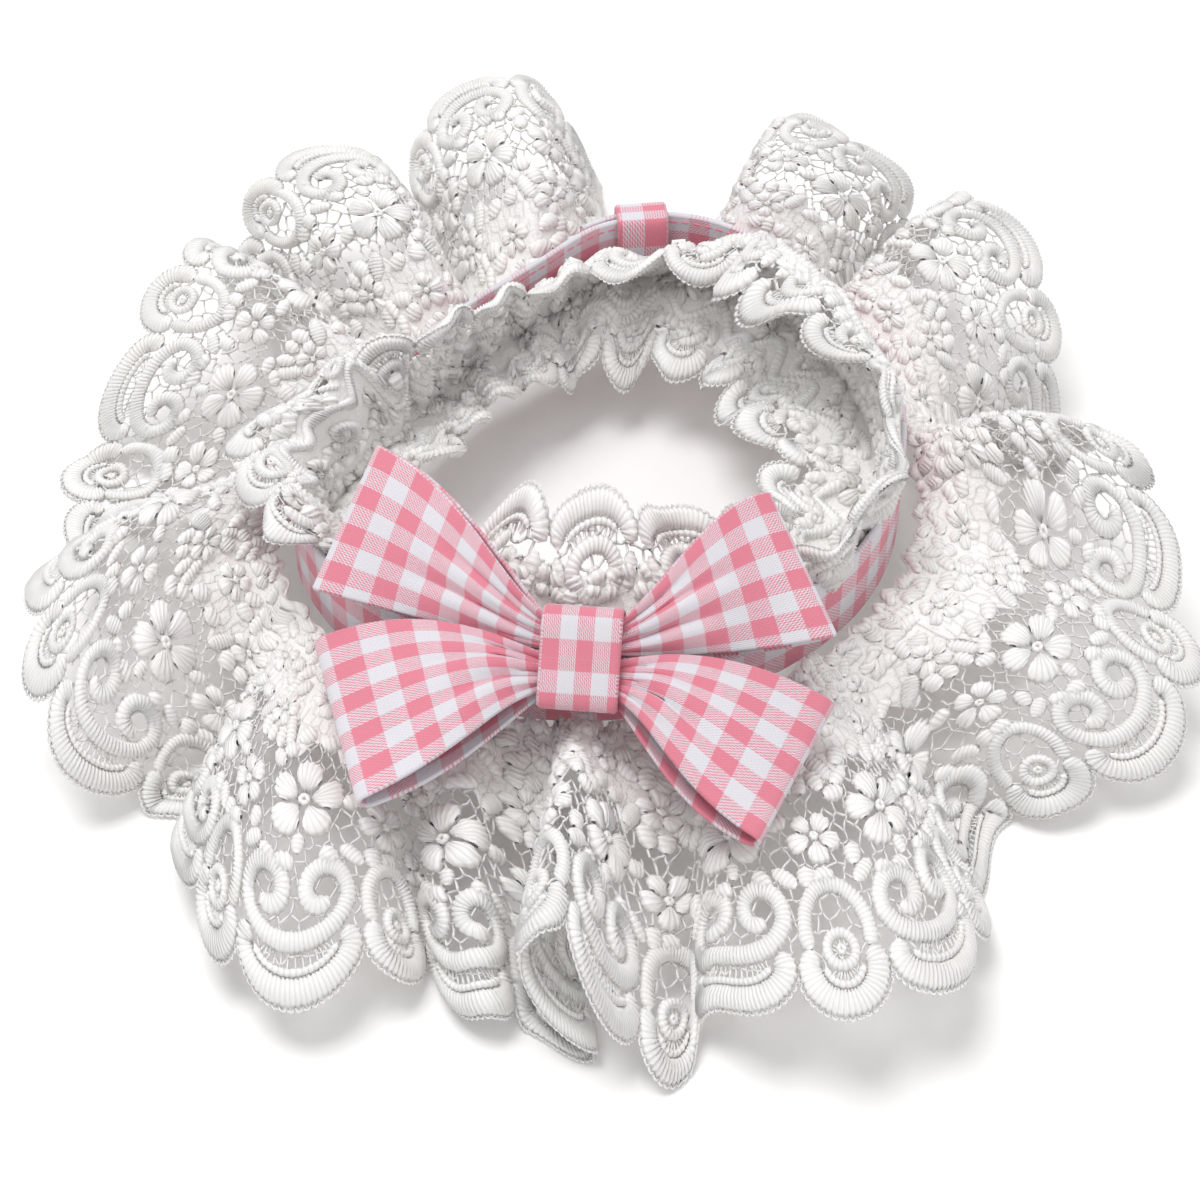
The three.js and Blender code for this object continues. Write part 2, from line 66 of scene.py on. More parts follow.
# The band's topstitching: how far in from each edge it runs, its pitch and the length of a stitch.
STITCH_INSET, STITCH_PITCH, STITCH_LENGTH = 1.5, 2.6, 1.9
LAYER_GAP = 0.35
SEAM_GAP = 0.3
SEAM_DROP = 5.0
FLOOR_CLEAR = 0.75
THREAD_CLEAR = 0.12
REPEATS = 26
BROAD_SHARE = 0.6
FLOUNCE_DEPTH = 62.0
FLOUNCE_SEAM_START, FLOUNCE_SEAM_END = 92.6, 435.5
SPLIT_FLUTE = 4.9
# The gathers at the flounce's seam: how far it stands off the band, the depth of its three folds a
# flute, and the depth and number of the small puckers between them.
SEAM_STAND = 1.85
GATHER_DEPTH = 0.7
PUCKER_DEPTH, PUCKERS = 0.75, 7

# The band's middle line, kidney shaped: angle, radius, height.
NECK_RING = np.array([
    [0, 63, 24.5], [30, 62, 24.5], [60, 63, 25], [78, 62, 25], [92, 57, 25], [105, 49, 23.5],
    [125, 43, 22.5], [150, 41, 22], [175, 43, 22], [192, 50, 22.5], [207, 59.5, 24],
    [222, 62, 24.5], [245, 63, 25], [270, 64, 25], [305, 63.5, 25], [335, 64, 24.5],
])

# The flounce's hem, one row a flute: angle, radius and height of its valley, rising side, crest
# and falling side, then how far the crest arches above a straight drape.
FLUTES = np.array([
    [93.8, 115.6, -4, 98.9, 110.1, 24, 104.4, 111.8, 33, 113.0, 118.8, 20, 13],
    [117.5, 113.0, -5, 121.8, 102.5, 21, 128.0, 99.5, 33, 135.8, 110.6, 24, 13],
    [140.3, 114.0, -5, 149.5, 95.7, 26, 155.7, 96.7, 34, 167.6, 100.7, 18, 9],
    [178.9, 108.1, -5, 195.1, 100.4, 10, 207.6, 110.8, 27, 222.2, 118.9, 16, 10],
    [230.0, 104.5, -4, 235.6, 113.6, 8, 250.5, 131.6, 11, 258.6, 121.5, 12, 6],
    [262.0, 114.5, 1.5, 265.3, 120.5, 5, 268.4, 122.6, 8, 272.3, 122.5, -3, 6],
    [277.0, 129.0, 2.6, 270.6, 119.2, 14.5, 273.3, 119.6, 29, 279.6, 131.5, 8, 7],
    [283.8, 130.2, 1.5, 286.2, 124.5, 11, 291.5, 133.9, 19, 303.4, 136.2, 17, 4],
    [317.9, 110.3, -5, 324.2, 115.2, 6, 331.9, 125.6, 9, 339.8, 126.8, 15, 7],
    [348.2, 118.4, 20, 354.4, 114.0, 27, 358.9, 105.3, 36, 366.5, 99.3, 22, 11],
    [378.1, 102.1, -5, 384.4, 105.0, 16, 397.7, 110.6, 29, 405.0, 103.7, 34, 10],
    [415.0, 114.6, -5, 417.0, 116.2, 18, 424.0, 107.6, 31, 430.5, 103.3, 34, 12],
])
FLOUNCE_END = (437.4, 116.0, -4.0)

# The frill: angle, radius and height of its upper edge and of its lower edge, then how far its
# upper knee is pulled out and up, to roll over the band.
FRILL = np.array([
    [0, 58, 45, 38, 27, 5, 13], [20, 45, 45, 33, 23, 5, 20], [42, 36, 43, 34, 19, 4, 25],
    [60, 45, 38, 36, 17, 1, 17], [71, 43, 37.5, 35, 16, 0, 2], [90, 38, 37, 32, 14, 0, 0],
    [108, 33, 39, 27, 17, 0, 0], [130, 30, 42, 24, 21, 0, 0], [155, 31, 44, 23, 22, 0, 0],
    [175, 42, 42, 24, 21, 0, 0], [190, 62, 37, 32, 20, 0, 0], [203, 69, 35, 40, 20, 0, 0],
    [222, 66, 39, 46, 20, 0, 0], [236, 55, 38, 46, 20, 0, 0], [247, 46, 42, 46, 19, 0, 0],
    [258, 41, 48, 46, 19, 0, 0], [285, 40, 48, 46, 19, 0, 0], [305, 47, 47, 46, 21, 0, 0],
    [322, 64, 44, 44, 26, 0, 0], [340, 65, 45, 40, 29, 0, 2],
])
FRILL_WAVES = 15
FRILL_WAVE = 2.7
FRILL_WAVE_SHARE = 0.043
FRILL_SIDE_SHARE = 0.03
FRILL_INSET = 3.8
FRILL_LIFT_UPPER, FRILL_LIFT_LOWER = 1.5, 2.2
LOWER_PHASE = 1.2
KNEE_INSET_UPPER, KNEE_INSET_LOWER = 6.0, 12.0
FOLD_DEPTH, FOLD_BUNCHES = 1.375, 7
# The fuller side: the angle of its middle, its spread in degrees and how far it stands out.
FULL_DEG, FULL_SPREAD, FULL_OUT = 327, 24, 3.2

# The bow: its knot, and the corners of each loop in order mid top, outer top, outer bottom, mid bottom.
KNOT_CENTRE = np.array([6.8, -69.9, 40.0])
KNOT_LEAN, KNOT_WIDTH, KNOT_HEIGHT, KNOT_DEPTH = 45.0, 13.4, 18.6, 9.2
KNOT_WALL = 1.2
# The knot's length round, as shares of twice its height and depth: that of its check and of its cut.
KNOT_ROUND_SHARE, KNOT_CUT_SHARE = 0.9, 0.85
BOW_LOOPS = [
    {"name": "bow_loop_upper_left", "side": -1, "roots": (4.7, 0.9),
     "corners": [[-13, -48, 57], [-32, -34, 54], [-41, -55, 38], [-18, -60, 36]]},
    {"name": "bow_loop_upper_right", "side": 1, "roots": (4.7, 0.9),
     "corners": [[24, -48, 57], [36, -39, 54], [49, -59, 39.5], [31, -63.5, 36]]},
    {"name": "bow_loop_lower_left", "side": -1, "roots": (-0.9, -4.7),
     "corners": [[-18, -60, 42], [-41, -61, 31], [-28, -95, 29], [-8, -86, 33]]},
    {"name": "bow_loop_lower_right", "side": 1, "roots": (-0.9, -4.7),
     "corners": [[28, -66, 42], [50, -67, 31], [39, -98, 30], [21, -90.5, 33]]},
]
LOOP_PUFF = 3.4
LOOP_PLEATS = 2.5
LOOP_PLEAT_DEPTH = 0.8
LOOP_NECK = 11.0
LOOP_FOLD_START = 0.9
LOOP_FOLD_SHARE = 0.03
LOOP_FOLD_RADIUS = 1.6
LOOP_ROOT_GAP = 0.95
BOW_CHECK_SHARE, KNOT_CHECK_SHARE = 0.79, 0.64
# Creases of a loop: place across, width, depth and length as a share of the loop's.
LOOP_CREASES = np.array([
    [0.16, 0.05, 0.8, 0.62], [0.36, 0.045, 1.1, 0.8], [0.52, 0.04, 0.7, 0.5],
    [0.66, 0.05, 1.2, 0.7], [0.86, 0.05, 0.7, 0.45],
])

# The whole part is moved so that its origin is under its middle: the knot's box says by how much.
KNOT_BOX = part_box("bow_knot")
SHIFT = np.array((KNOT_BOX[0] + KNOT_BOX[1]) / 2) / MM - KNOT_CENTRE

# ---- the lace pattern, drawn flat in millimetres: x along the hem, y from the hem to the band ----
STITCH = 0.8
NOTCH_Y = 5.4
BROAD_REACH, NARROW_REACH = 8.0, 8.2
RIM_WIDTH = 4.3
PICOT_PITCH, PICOT_RADIUS = 1.3, 0.6
LOOP_RADIUS = 0.26
THREAD_RADIUS = 0.28
NET_CELLS = 12
GATHERED_SHARE = 0.37
BUD_PITCH = 3.7
GROUND_FROM = 40.0
END_HEM = 3.4
# centre x and y, radius, petals, turn
FLOWERS = np.array([
    [12.45, 29.8, 7.6, 5, 90], [33.2, 27.2, 5.2, 5, -90], [33.2, 43.0, 4.4, 5, 90], [10.4, 50.0, 4.2, 5, -90],
])
# root x and y, direction, length, width
LEAVES = np.array([
    [3.2, 37.6, 120, 6.0, 3.4], [21.7, 37.6, 60, 6.0, 3.4], [39.6, 18.4, 40, 5.0, 3.0],
    [26.8, 18.4, 140, 5.0, 3.0], [12.45, 20.6, 90, 3.4, 2.6],
])
# Places where the net is widest.
NET_GAPS = np.array([[2.5, 21.7], [22.4, 21.7], [27.7, 34.1], [38.7, 34.1], [2.5, 46.5], [22.4, 46.5]])
NET_GAP_RADIUS = 2.1
# The heart scroll in the broad scallop: its two curls, and the bow that joins them.
CURL_APART, CURL_Y, CURL_WIDE, CURL_TIGHT, CURL_WIDTH = 5.5, 14.2, 5.4, 1.5, 3.5
SCROLL_BOW = {"y": 13.4, "half_x": 10.5, "half_y": 6.6, "start": 190, "end": 350}
# The wheel in the narrow scallop: its height, its ring and heart, and the cord that arches over it.
WHEEL_Y, WHEEL_RING, WHEEL_HEART = 7.6, 2.6, 0.55
WHEEL_ARCH = {"half_x": 6.2, "half_y": 7.4, "start": 206, "end": -26}
WHEEL_ARCH_RISE, WHEEL_ARCH_WIDTH = 3.4, 3.0
# Buds are laid from BUDS_FROM to the band; further in than BUDS_FULL no place is left empty.
BUDS_FROM, BUDS_FULL = 19.5, 30.0
NET_TOP = 48.0
# The width of one repeat of the lace, split into a broad and a narrow scallop.
PATTERN_WIDTH = 41.5
BROAD = BROAD_SHARE * PATTERN_WIDTH
NARROW = PATTERN_WIDTH - BROAD

# ---- the frill's pattern, the same way: key 1 is the upper edge and -1 the lower ----
FRILL_DEPTHS = {1: 30.0, -1: 25.0}
LOBE_WIDTHS = {1: 17.0, -1: 13.0}
LOBE_NOTCH, LOBE_REACH, LOBE_RIM = 4.8, 6.0, 3.4
VINE_Y = {1: 16.0, -1: 13.0}
VINE_WIDTH = 3.0
MOTIF_ACROSS, MOTIF_PITCH, MOTIF_RADIUS = 0.26, 13.0, 5.0
PAD_PITCH = 3.5
PAD_ROOM = {1: 46.0, -1: 30.0}
FRILL_GROUND_EDGES = (-0.64, 0.68)


# ---- curves ----
def smooth_table(at, rows, closed=False):
    """A curve through rows of values at the places `at`: cubic pieces whose slope at each row
    is that of the parabola through it and its two neighbours."""
    at, rows = np.asarray(at, float), np.asarray(rows, float)
    if closed:
        at = np.concatenate([at - 360, at, at + 360])
        rows = np.concatenate([rows] * 3)
    slopes = np.gradient(rows, at, axis=0)

    def curve(x):
        x = np.asarray(x, float)
        place = np.mod(x, 360) if closed else x
        k = np.clip(np.searchsorted(at, place, side="right") - 1, 0, len(at) - 2)
        step = at[k + 1] - at[k]
        t = ((place - at[k]) / step)[..., None]
        step = step[..., None]
        rise = t * t * (3 - 2 * t)
        bend = slopes[k] * (t - 1) + slopes[k + 1] * t
        return rows[k] * (1 - rise) + rows[k + 1] * rise + step * t * (1 - t) * -bend

    return curve


def smoothstep(x, low, high):
    """0 below low, 1 above high and 3t^2 - 2t^3 between them."""
    t = np.clip((x - low) / (high - low), 0, 1)
    return t * t * (3 - 2 * t)


def polar(deg, radius, z):
    """Points at an angle, a radius and a height."""
    angle = np.radians(deg)
    return np.stack([radius * np.cos(angle), radius * np.sin(angle), z], -1)


def unit(v):
    """Vectors scaled to length 1."""
    return v / np.maximum(np.linalg.norm(v, axis=-1, keepdims=True), 1e-12)


def with_normals(point, a, b, step_a, step_b, a_range=(-1e9, 1e9), b_range=(-1e9, 1e9)):
    """The points of a surface point(a, b) and their normals: the cross product of central
    differences in b and in a, taken a step inside the surface's own range."""
    ca, cb = np.clip(a, *a_range), np.clip(b, *b_range)
    along_a = point(ca + step_a, cb) - point(ca - step_a, cb)
    along_b = point(ca, cb + step_b) - point(ca, cb - step_b)
    return point(a, b), unit(np.cross(along_b, along_a))


ring_curve = smooth_table(NECK_RING[:, 0], NECK_RING[:, 1:], closed=True)
frill_curve = smooth_table(FRILL[:, 0], FRILL[:, 1:], closed=True)


def band_shift(deg):
    """The band's last turn steps outwards, to pass outside its first end."""
    return BAND_OVERLAP_SHIFT * smoothstep(deg, 395, 436)


# ---- the flounce's surface ----
def hem_knots():
    """Four knots a flute: angle, radius, height and arch (0, 0.6, 1 and 0.6 of the crest's)."""
    knots = FLUTES[:, :12].reshape(-1, 3)
    arch = (FLUTES[:, 12:] * np.array([0, 0.6, 1, 0.6])).reshape(-1, 1)
    return np.vstack([np.hstack([knots, arch]), [*FLOUNCE_END, 0]])


HEM = hem_knots()
hem_curve = smooth_table(np.arange(len(HEM)) / 4, HEM)


def seam_knots():
    """Angles on the band at every half flute: the mean of an even spread and of the hem's own angle."""
    even = np.linspace(FLOUNCE_SEAM_START, FLOUNCE_SEAM_END, 2 * len(FLUTES) + 1)
    knots = np.sort(0.5 * even + 0.5 * HEM[::2, 0])
    knots[0], knots[-1] = FLOUNCE_SEAM_START, FLOUNCE_SEAM_END
    return knots


seam_curve = smooth_table(np.arange(2 * len(FLUTES) + 1) / 2, seam_knots()[:, None])


def flounce_point(flute, down):
    """A point of the flounce. A straight chord runs from the seam on the band (down 0) to the hem
    (down 1), bulges by 4 down (1 - down) arch across itself, and is lifted where it meets the floor.
    At the seam it stands off the band by gathers, cosines of the flute count, and smaller, uneven
    puckers, which both fade as a power of 1 - down."""
    hem_deg, hem_r, hem_z, arch = np.moveaxis(hem_curve(flute), -1, 0)
    seam_deg = seam_curve(flute)[..., 0]
    ring_r, ring_z = np.moveaxis(ring_curve(seam_deg), -1, 0)
    slack = np.maximum(1 - down, 0)
    gather = GATHER_DEPTH * (1 + np.cos(6 * np.pi * flute)) * slack**2
    uneven = 0.35 * np.sin(5.3 * flute)
    pucker = PUCKER_DEPTH * (1 + np.sin(2 * np.pi * (PUCKERS * flute + uneven))) * slack**2.2
    seam_r = ring_r + band_shift(seam_deg) + BAND_WALL / 2 + SEAM_GAP + SEAM_STAND + gather + pucker
    seam_z = ring_z - SEAM_DROP
    dr, dz = hem_r - seam_r, hem_z - seam_z
    chord = np.hypot(dr, dz)
    bulge = 4 * down * (1 - down) * arch
    deg = seam_deg + (hem_deg - seam_deg) * np.maximum(down, 0)
    radius = seam_r + dr * down - dz / chord * bulge
    z = seam_z + dz * down + dr / chord * bulge
    return polar(deg, radius, np.maximum(z, FLOOR_CLEAR))


HEM_FLUTES = np.linspace(0, len(FLUTES), 3601)
HEM_TRACK = np.concatenate([
    [0], np.cumsum(np.linalg.norm(np.diff(flounce_point(HEM_FLUTES, np.ones(3601)), axis=0), axis=1)),
])
HEM_LENGTH = HEM_TRACK[-1]
REPEAT = HEM_LENGTH / REPEATS


def flounce_surface(x, y):
    """Points and normals of the flounce for pattern places: x is turned into a flute count by the
    hem's own length, y into a share of the depth."""

    def point(along, down):
        return flounce_point(np.interp(along, HEM_TRACK, HEM_FLUTES), down)

    along = x * REPEAT / PATTERN_WIDTH
    return with_normals(
        point, along, 1 - y / FLOUNCE_DEPTH, 1.6, 0.03, (1.7, HEM_LENGTH - 1.7), (0.031, 1.1)
    )


# ---- the frill's surface ----
def frill_point(deg, across):
    """A point of the frill: across runs -1 at the lower edge, 0 on the gathers, 1 at the upper edge.
    Each half is a parabolic arc from the gathers round a knee to its edge, and the edge waves
    15 times round the neck. Soft folds, twice as many and bunched at seven places, are deepest half
    way out and die away where the knee rolls over the band, and one side is fuller, up to the band."""
    upper_r, upper_z, lower_r, lower_z, knee_out, knee_up = np.moveaxis(frill_curve(deg), -1, 0)
    ring_r, ring_z = np.moveaxis(ring_curve(deg), -1, 0)
    phase = np.radians(deg) * FRILL_WAVES
    upper = across > 0
    t = np.abs(across)
    wave = np.where(upper, phase, phase + LOWER_PHASE)
    reach = np.where(upper, upper_r, lower_r)
    edge_r = reach + np.minimum(FRILL_WAVE, FRILL_WAVE_SHARE * reach) * np.sin(wave)
    lift = np.where(upper, FRILL_LIFT_UPPER, FRILL_LIFT_LOWER)
    edge_z = np.where(upper, upper_z, lower_z) + lift * np.cos(wave)
    over = smoothstep(upper_r - ring_r, -2, 8)
    knee_r = np.where(upper, ring_r - KNEE_INSET_UPPER + 2 * over + knee_out, ring_r - KNEE_INSET_LOWER)
    knee_z = np.where(upper, ring_z + 9 + (upper_z + 8 - ring_z) * over + knee_up, ring_z - 1)
    a, b, c = (1 - t) ** 2, 2 * t * (1 - t), t * t
    radius = a * (ring_r - FRILL_INSET) + b * knee_r + c * edge_r
    z = a * (ring_z - 4) + b * knee_z + c * edge_z
    bunched = 1.3 * np.sin(FOLD_BUNCHES * np.radians(deg))
    fold = FOLD_DEPTH * np.sin(2 * phase + bunched + across) * 4 * (1 - t) * t
    fold = fold * (1 - 0.85 * np.where(upper, smoothstep(knee_up, 0, 8), 0)) * np.minimum(reach / 60, 1)
    side = FRILL_SIDE_SHARE * np.cos(phase + 0.6) * t
    near = np.exp(-(((np.mod(deg, 360) - FULL_DEG) / FULL_SPREAD) ** 2))
    full = np.where(upper, FULL_OUT * near * np.sin(np.pi * t), 0)
    return polar(deg + np.degrees(side), radius + 1.3 * fold + full, z + 0.9 * fold)


def frill_ground(deg, across):
    """Points and normals of the frill for its own angle and place across."""
    return with_normals(frill_point, deg, across, 0.4, 0.03)


def frill_track(across):
    """Angles round the frill and the length that its line at `across` has run at each of them."""
    deg = np.linspace(0, 360, 1441)
    line = frill_point(deg, np.full(len(deg), float(across)))
    return deg, np.concatenate([[0], np.cumsum(np.linalg.norm(np.diff(line, axis=0), axis=1))])


def frill_surface(edge):
    """For pattern places near one edge (1 upper, -1 lower): x is a length along the edge and y the
    distance from it. The lower edge runs the other way round, so both face the same side."""
    deg, track = frill_track(edge)

    def surface(x, y):
        turns, along = np.divmod(edge * x, track[-1])
        place = np.interp(along, track, deg) + 360 * turns
        return frill_ground(place, edge * (1 - y / FRILL_DEPTHS[edge]))

    return surface, track[-1]


# ---- the band's, the knot's and the loops' surfaces ----
def band_point(deg, rise):
    """A point of the band's middle: rise runs 0 at its lower edge to 1 at its upper edge."""
    radius, height = np.moveaxis(ring_curve(deg), -1, 0)
    sway = 0.18 * np.sin(np.radians(deg) * 13) * np.sin(np.radians(deg) * 5 + 1)
    return polar(deg, radius + band_shift(deg) + sway * rise, height + BAND_HEIGHT * (rise - 0.5))


def strap_point(centre, along, up, out, width, height, depth, bulk):
    """A closed strap: turn goes round a rounded rectangle |c|^bulk + |s|^bulk = 1 in the plane of
    up and out, and across runs 0 to 1 along its width."""

    def point(turn, across):
        c, s = np.cos(2 * np.pi * turn), np.sin(2 * np.pi * turn)
        size = (np.abs(c) ** bulk + np.abs(s) ** bulk) ** (-1 / bulk)
        return (
            centre
            + out * (depth / 2 * size * c)[..., None]
            + up * (height / 2 * size * s)[..., None]
            + along * (width * (across - 0.5))[..., None]
        )

    return point


LEAN = math.radians(KNOT_LEAN)
BOW_ACROSS = np.array([1.0, 0, 0])
BOW_UP = np.array([0, math.cos(LEAN), math.sin(LEAN)])
BOW_FRONT = np.array([0, -math.sin(LEAN), math.cos(LEAN)])


def bezier(a, b, c, d, t):
    """A curve from a, leaving towards b, bending near c and ending at d."""
    t = t[..., None]
    u = 1 - t
    return a * u**3 + b * 3 * t * u**2 + c * 3 * t**2 * u + d * t**3


def loop_point(loop):
    """A loop of the bow: turn runs 0 to 1 from the knot over the front, round the end fold and back
    behind. Its top and bottom edges are curves from the knot to the outer corners; the two layers
    stand apart by a puff that is fullest half way, and pleats run out from the knot."""
    mid_top, outer_top, outer_bottom, mid_bottom = np.array(loop["corners"], float)
    face = unit(np.cross(outer_top - mid_bottom, outer_bottom - mid_top))
    face = face * np.sign(face @ BOW_FRONT)

    def root(height, out):
        return KNOT_CENTRE + BOW_ACROSS * loop["side"] * out + BOW_UP * height

    def point(turn, across):
        side = np.where(turn < 0.5, 1.0, -1.0)
        along = 1 - np.abs(1 - 2 * turn)
        fold = np.maximum(along - LOOP_FOLD_START, 0) / (1 - LOOP_FOLD_START) * np.pi / 2
        flat = np.minimum(along / LOOP_FOLD_START, 1)
        reach = flat + LOOP_FOLD_SHARE * np.sin(fold)
        edges = []
        for height, mid, outer in zip(loop["roots"], (mid_top, mid_bottom), (outer_top, outer_bottom)):
            edges.append(bezier(root(height, 0.7), root(height, LOOP_NECK), mid, outer, reach))
        top, bottom = edges
        behind = 0.04 * (1 - np.cos(np.pi * turn)) * flat
        near = smoothstep(reach, 0, 0.35)[..., None]
        front = unit(BOW_FRONT * (1 - near) + face * near)
        full = 0.4 + 0.6 * np.sin(np.pi * across)
        puff = LOOP_PUFF * full * np.sin(np.pi * flat) * smoothstep(flat, 0.06, 0.5)
        apart = LOOP_ROOT_GAP + (LOOP_FOLD_RADIUS - LOOP_ROOT_GAP) * smoothstep(flat, 0.5, 1)
        layers = side * (apart + puff) * np.cos(fold)
        pleat = LOOP_PLEAT_DEPTH * np.cos(2 * np.pi * LOOP_PLEATS * across) * (1 - flat) ** 2
        crease = loop_creases(loop, across, flat, side)
        share = (across + behind)[..., None]
        return top * (1 - share) + bottom * share + front * (layers + pleat + crease)[..., None]

    return point


def loop_creases(loop, across, flat, side):
    """Soft creases that fan out from the knot: troughs exp(-((across - c) / w)^2) that open and
    fade towards the outer fold, each with its own place, width, depth and length."""
    crease = np.zeros_like(across)
    flip = 1 if loop["side"] * loop["roots"][0] > 0 else -1
    for place, width, depth, length in LOOP_CREASES:
        centre = 0.5 + flip * (place - 0.5) + 0.03 * np.sin(9 * flat + 20 * place)
        spread = width * (0.7 + 1.3 * flat)
        fade = smoothstep(flat, 0.02, 0.14) * (1 - smoothstep(flat, length - 0.25, length + 0.1))
        crease -= depth * np.exp(-(((across - centre) / spread) ** 2)) * fade
    return crease * np.where(side > 0, 1, 0.2)


# ---- flat meshes: points (n, 3), triangles (m, 3) and a pattern place for each corner (m, 3, 2) ----
def joined(meshes):
    """Several meshes as one."""
    starts = np.cumsum([0] + [len(m[0]) for m in meshes[:-1]])
    return (
        np.concatenate([m[0] for m in meshes]),
        np.concatenate([m[1] + s for m, s in zip(meshes, starts)]),
        np.concatenate([m[2] for m in meshes]),
    )


def outwards(mesh):
    """The same closed mesh with its faces pointing out: its signed volume is made positive."""
    points, triangles, places = mesh
    a, b, c = (points[triangles[:, k]] for k in range(3))
    if (a * np.cross(b, c)).sum() < 0:
        return points, triangles[:, ::-1], places[:, ::-1]
    return mesh


def grid_cells(rows, columns, close_rows=False, close_columns=False):
    """Two triangles for each cell of a grid, as (row, column) pairs that aren't wrapped."""
    i, j = np.meshgrid(
        np.arange(rows if close_rows else rows - 1),
        np.arange(columns if close_columns else columns - 1),
        indexing="ij",
    )
    i, j = i.ravel(), j.ravel()
    corners = np.stack([i, j, i + 1, j, i + 1, j + 1, i, j, i + 1, j + 1, i, j + 1], -1)
    return corners.reshape(-1, 3, 2)


def grid_mesh(points, places, close_rows=False, close_columns=False):
    """The triangles of a grid of points, with places for each row and column line."""
    rows, columns = points.shape[:2]
    cells = grid_cells(rows, columns, close_rows, close_columns)
    triangles = (cells[..., 0] % rows) * columns + cells[..., 1] % columns
    return points.reshape(-1, 3), triangles, places(cells[..., 0], cells[..., 1])


def evened(path, step, closed=False):
    """Points along a path at even distances, an even number of them near `step` apart."""
    path = np.vstack([path, path[:1]]) if closed else path
    track = np.concatenate([[0], np.cumsum(np.linalg.norm(np.diff(path, axis=0), axis=1))])
    count = max(2 * round(track[-1] / step / 2), 4)
    at = np.linspace(0, track[-1], count + 1)
    if closed:
        at = at[:-1]
    return np.stack([np.interp(at, track, path[:, k]) for k in range(path.shape[1])], -1), at, track[-1]


# A section of a satin-stitched cord: share of its half width, share of its height.
PADDED_SECTION = np.array([[-1, 0], [-0.72, 0.76], [0, 1], [0.72, 0.76], [1, 0], [0, -0.5]])
ROUND_SECTION = np.array([[-1, 0], [-0.55, 0.8], [0.55, 0.8], [1, 0], [0.55, -0.8], [-0.55, -0.8]])


def satin(path, width, height, closed=False, ends="round", ridge=0.1, section=PADDED_SECTION, step=STITCH / 2,
          seed=0, base=0.0):
    """A satin-stitched cord along a flat path. At every half stitch an arched section stands across
    the path, swollen on the stitches and pinched between them: its size times 1 + ridge cos(pi k).
    Round ends close it as half circles, and petals narrow as (1 - |2s - 1|^2.4)^0.5."""
    line, at, length = evened(np.asarray(path, float), step, closed)
    tangent = np.roll(line, -1, 0) - np.roll(line, 1, 0) if closed else np.gradient(line, axis=0)
    tangent = unit(tangent)
    left = np.stack([-tangent[:, 1], tangent[:, 0]], -1)
    share = at / length
    size = np.ones(len(line))
    if not closed and ends == "round":
        near = np.clip(np.minimum(at, length - at) / (width / 2), 0, 1)
        size = np.sqrt(np.maximum(1 - (1 - near) ** 2, 0.06))
    if ends == "petal":
        size = np.sqrt(np.maximum(1 - np.abs(2 * share - 1) ** 2.4, 0.05))
    ragged = np.random.default_rng(seed).uniform(-0.05, 0.05, len(line))
    swell = 1 + ridge * np.cos(np.pi * np.arange(len(line)))
    half = width / 2 * size * (1 + ragged) * (1 + (swell - 1) * 0.35)
    tall = height * np.sqrt(size) * swell
    flat = line[:, None] + left[:, None] * (section[:, 0] * half[:, None])[..., None]
    points = np.concatenate([flat, (base + section[:, 1] * tall[:, None])[..., None]], -1)
    sides = len(section)
    across = np.append(section[:, 0], section[0, 0]) * width / 2
    run = np.arange(len(line) + 1) / 2
    body = grid_mesh(
        points, lambda i, j: np.stack([run[i], across[j]], -1), close_rows=closed, close_columns=True
    )
    if closed:
        return outwards(body)
    fan = np.array([[0, k + 1, k] for k in range(1, sides - 1)])
    last = (len(line) - 1) * sides
    caps = np.concatenate([fan, fan[:, ::-1] + last])
    caps_at = np.zeros((len(caps), 3, 2))
    return outwards((body[0], np.concatenate([body[1], caps]), np.concatenate([body[2], caps_at])))


def threads(stations, radius, lift=0.0):
    """Many fine threads at once: stations is (threads, stations, 2); each thread is a three-sided
    tube round its stations, closed at both ends."""
    stations = np.asarray(stations, float)
    n, k = stations.shape[:2]
    tangent = unit(np.gradient(stations, axis=1))
    left = np.stack([-tangent[..., 1], tangent[..., 0]], -1)
    section = np.array([[-0.9, -0.5], [0, 1.0], [0.9, -0.5]]) * radius
    flat = stations[:, :, None] + left[:, :, None] * section[:, 0][:, None]
    high = np.broadcast_to(section[:, 1] + lift, flat.shape[:-1])[..., None]
    points = np.concatenate([flat, high], -1).reshape(-1, 3)
    cells = grid_cells(k, 3, close_columns=True)
    one = cells[..., 0] * 3 + cells[..., 1] % 3
    one = np.concatenate([one[:, ::-1], [[0, 1, 2]], [[3 * k - 1, 3 * k - 2, 3 * k - 3]]])
    triangles = (one[None] + (np.arange(n) * 3 * k)[:, None, None]).reshape(-1, 3)
    places = np.stack([points[triangles][..., 0], points[triangles][..., 1]], -1)
    return outwards((points, triangles, places))


# ---- the lace's own motifs ----
def arc(x, y, half_x, half_y, start, end, count=48):
    """Points on an ellipse, from one angle to another."""
    angle = np.radians(np.linspace(start, end, count))
    return np.stack([x + half_x * np.cos(angle), y + half_y * np.sin(angle)], -1)


def scallop(start, width, reach, notch_y=NOTCH_Y, share=(0, 1)):
    """A scallop's edge: the share of a half ellipse, width across and reach deep, below the notches."""
    turn = np.pi * np.linspace(*share, 161)
    return np.stack([start + width / 2 * (1 - np.cos(turn)), notch_y - reach * np.sin(turn)], -1)


def inset(path, distance):
    """A path moved sideways, to the left of its direction."""
    tangent = unit(np.gradient(path, axis=0))
    return path + distance * np.stack([-tangent[:, 1], tangent[:, 0]], -1)


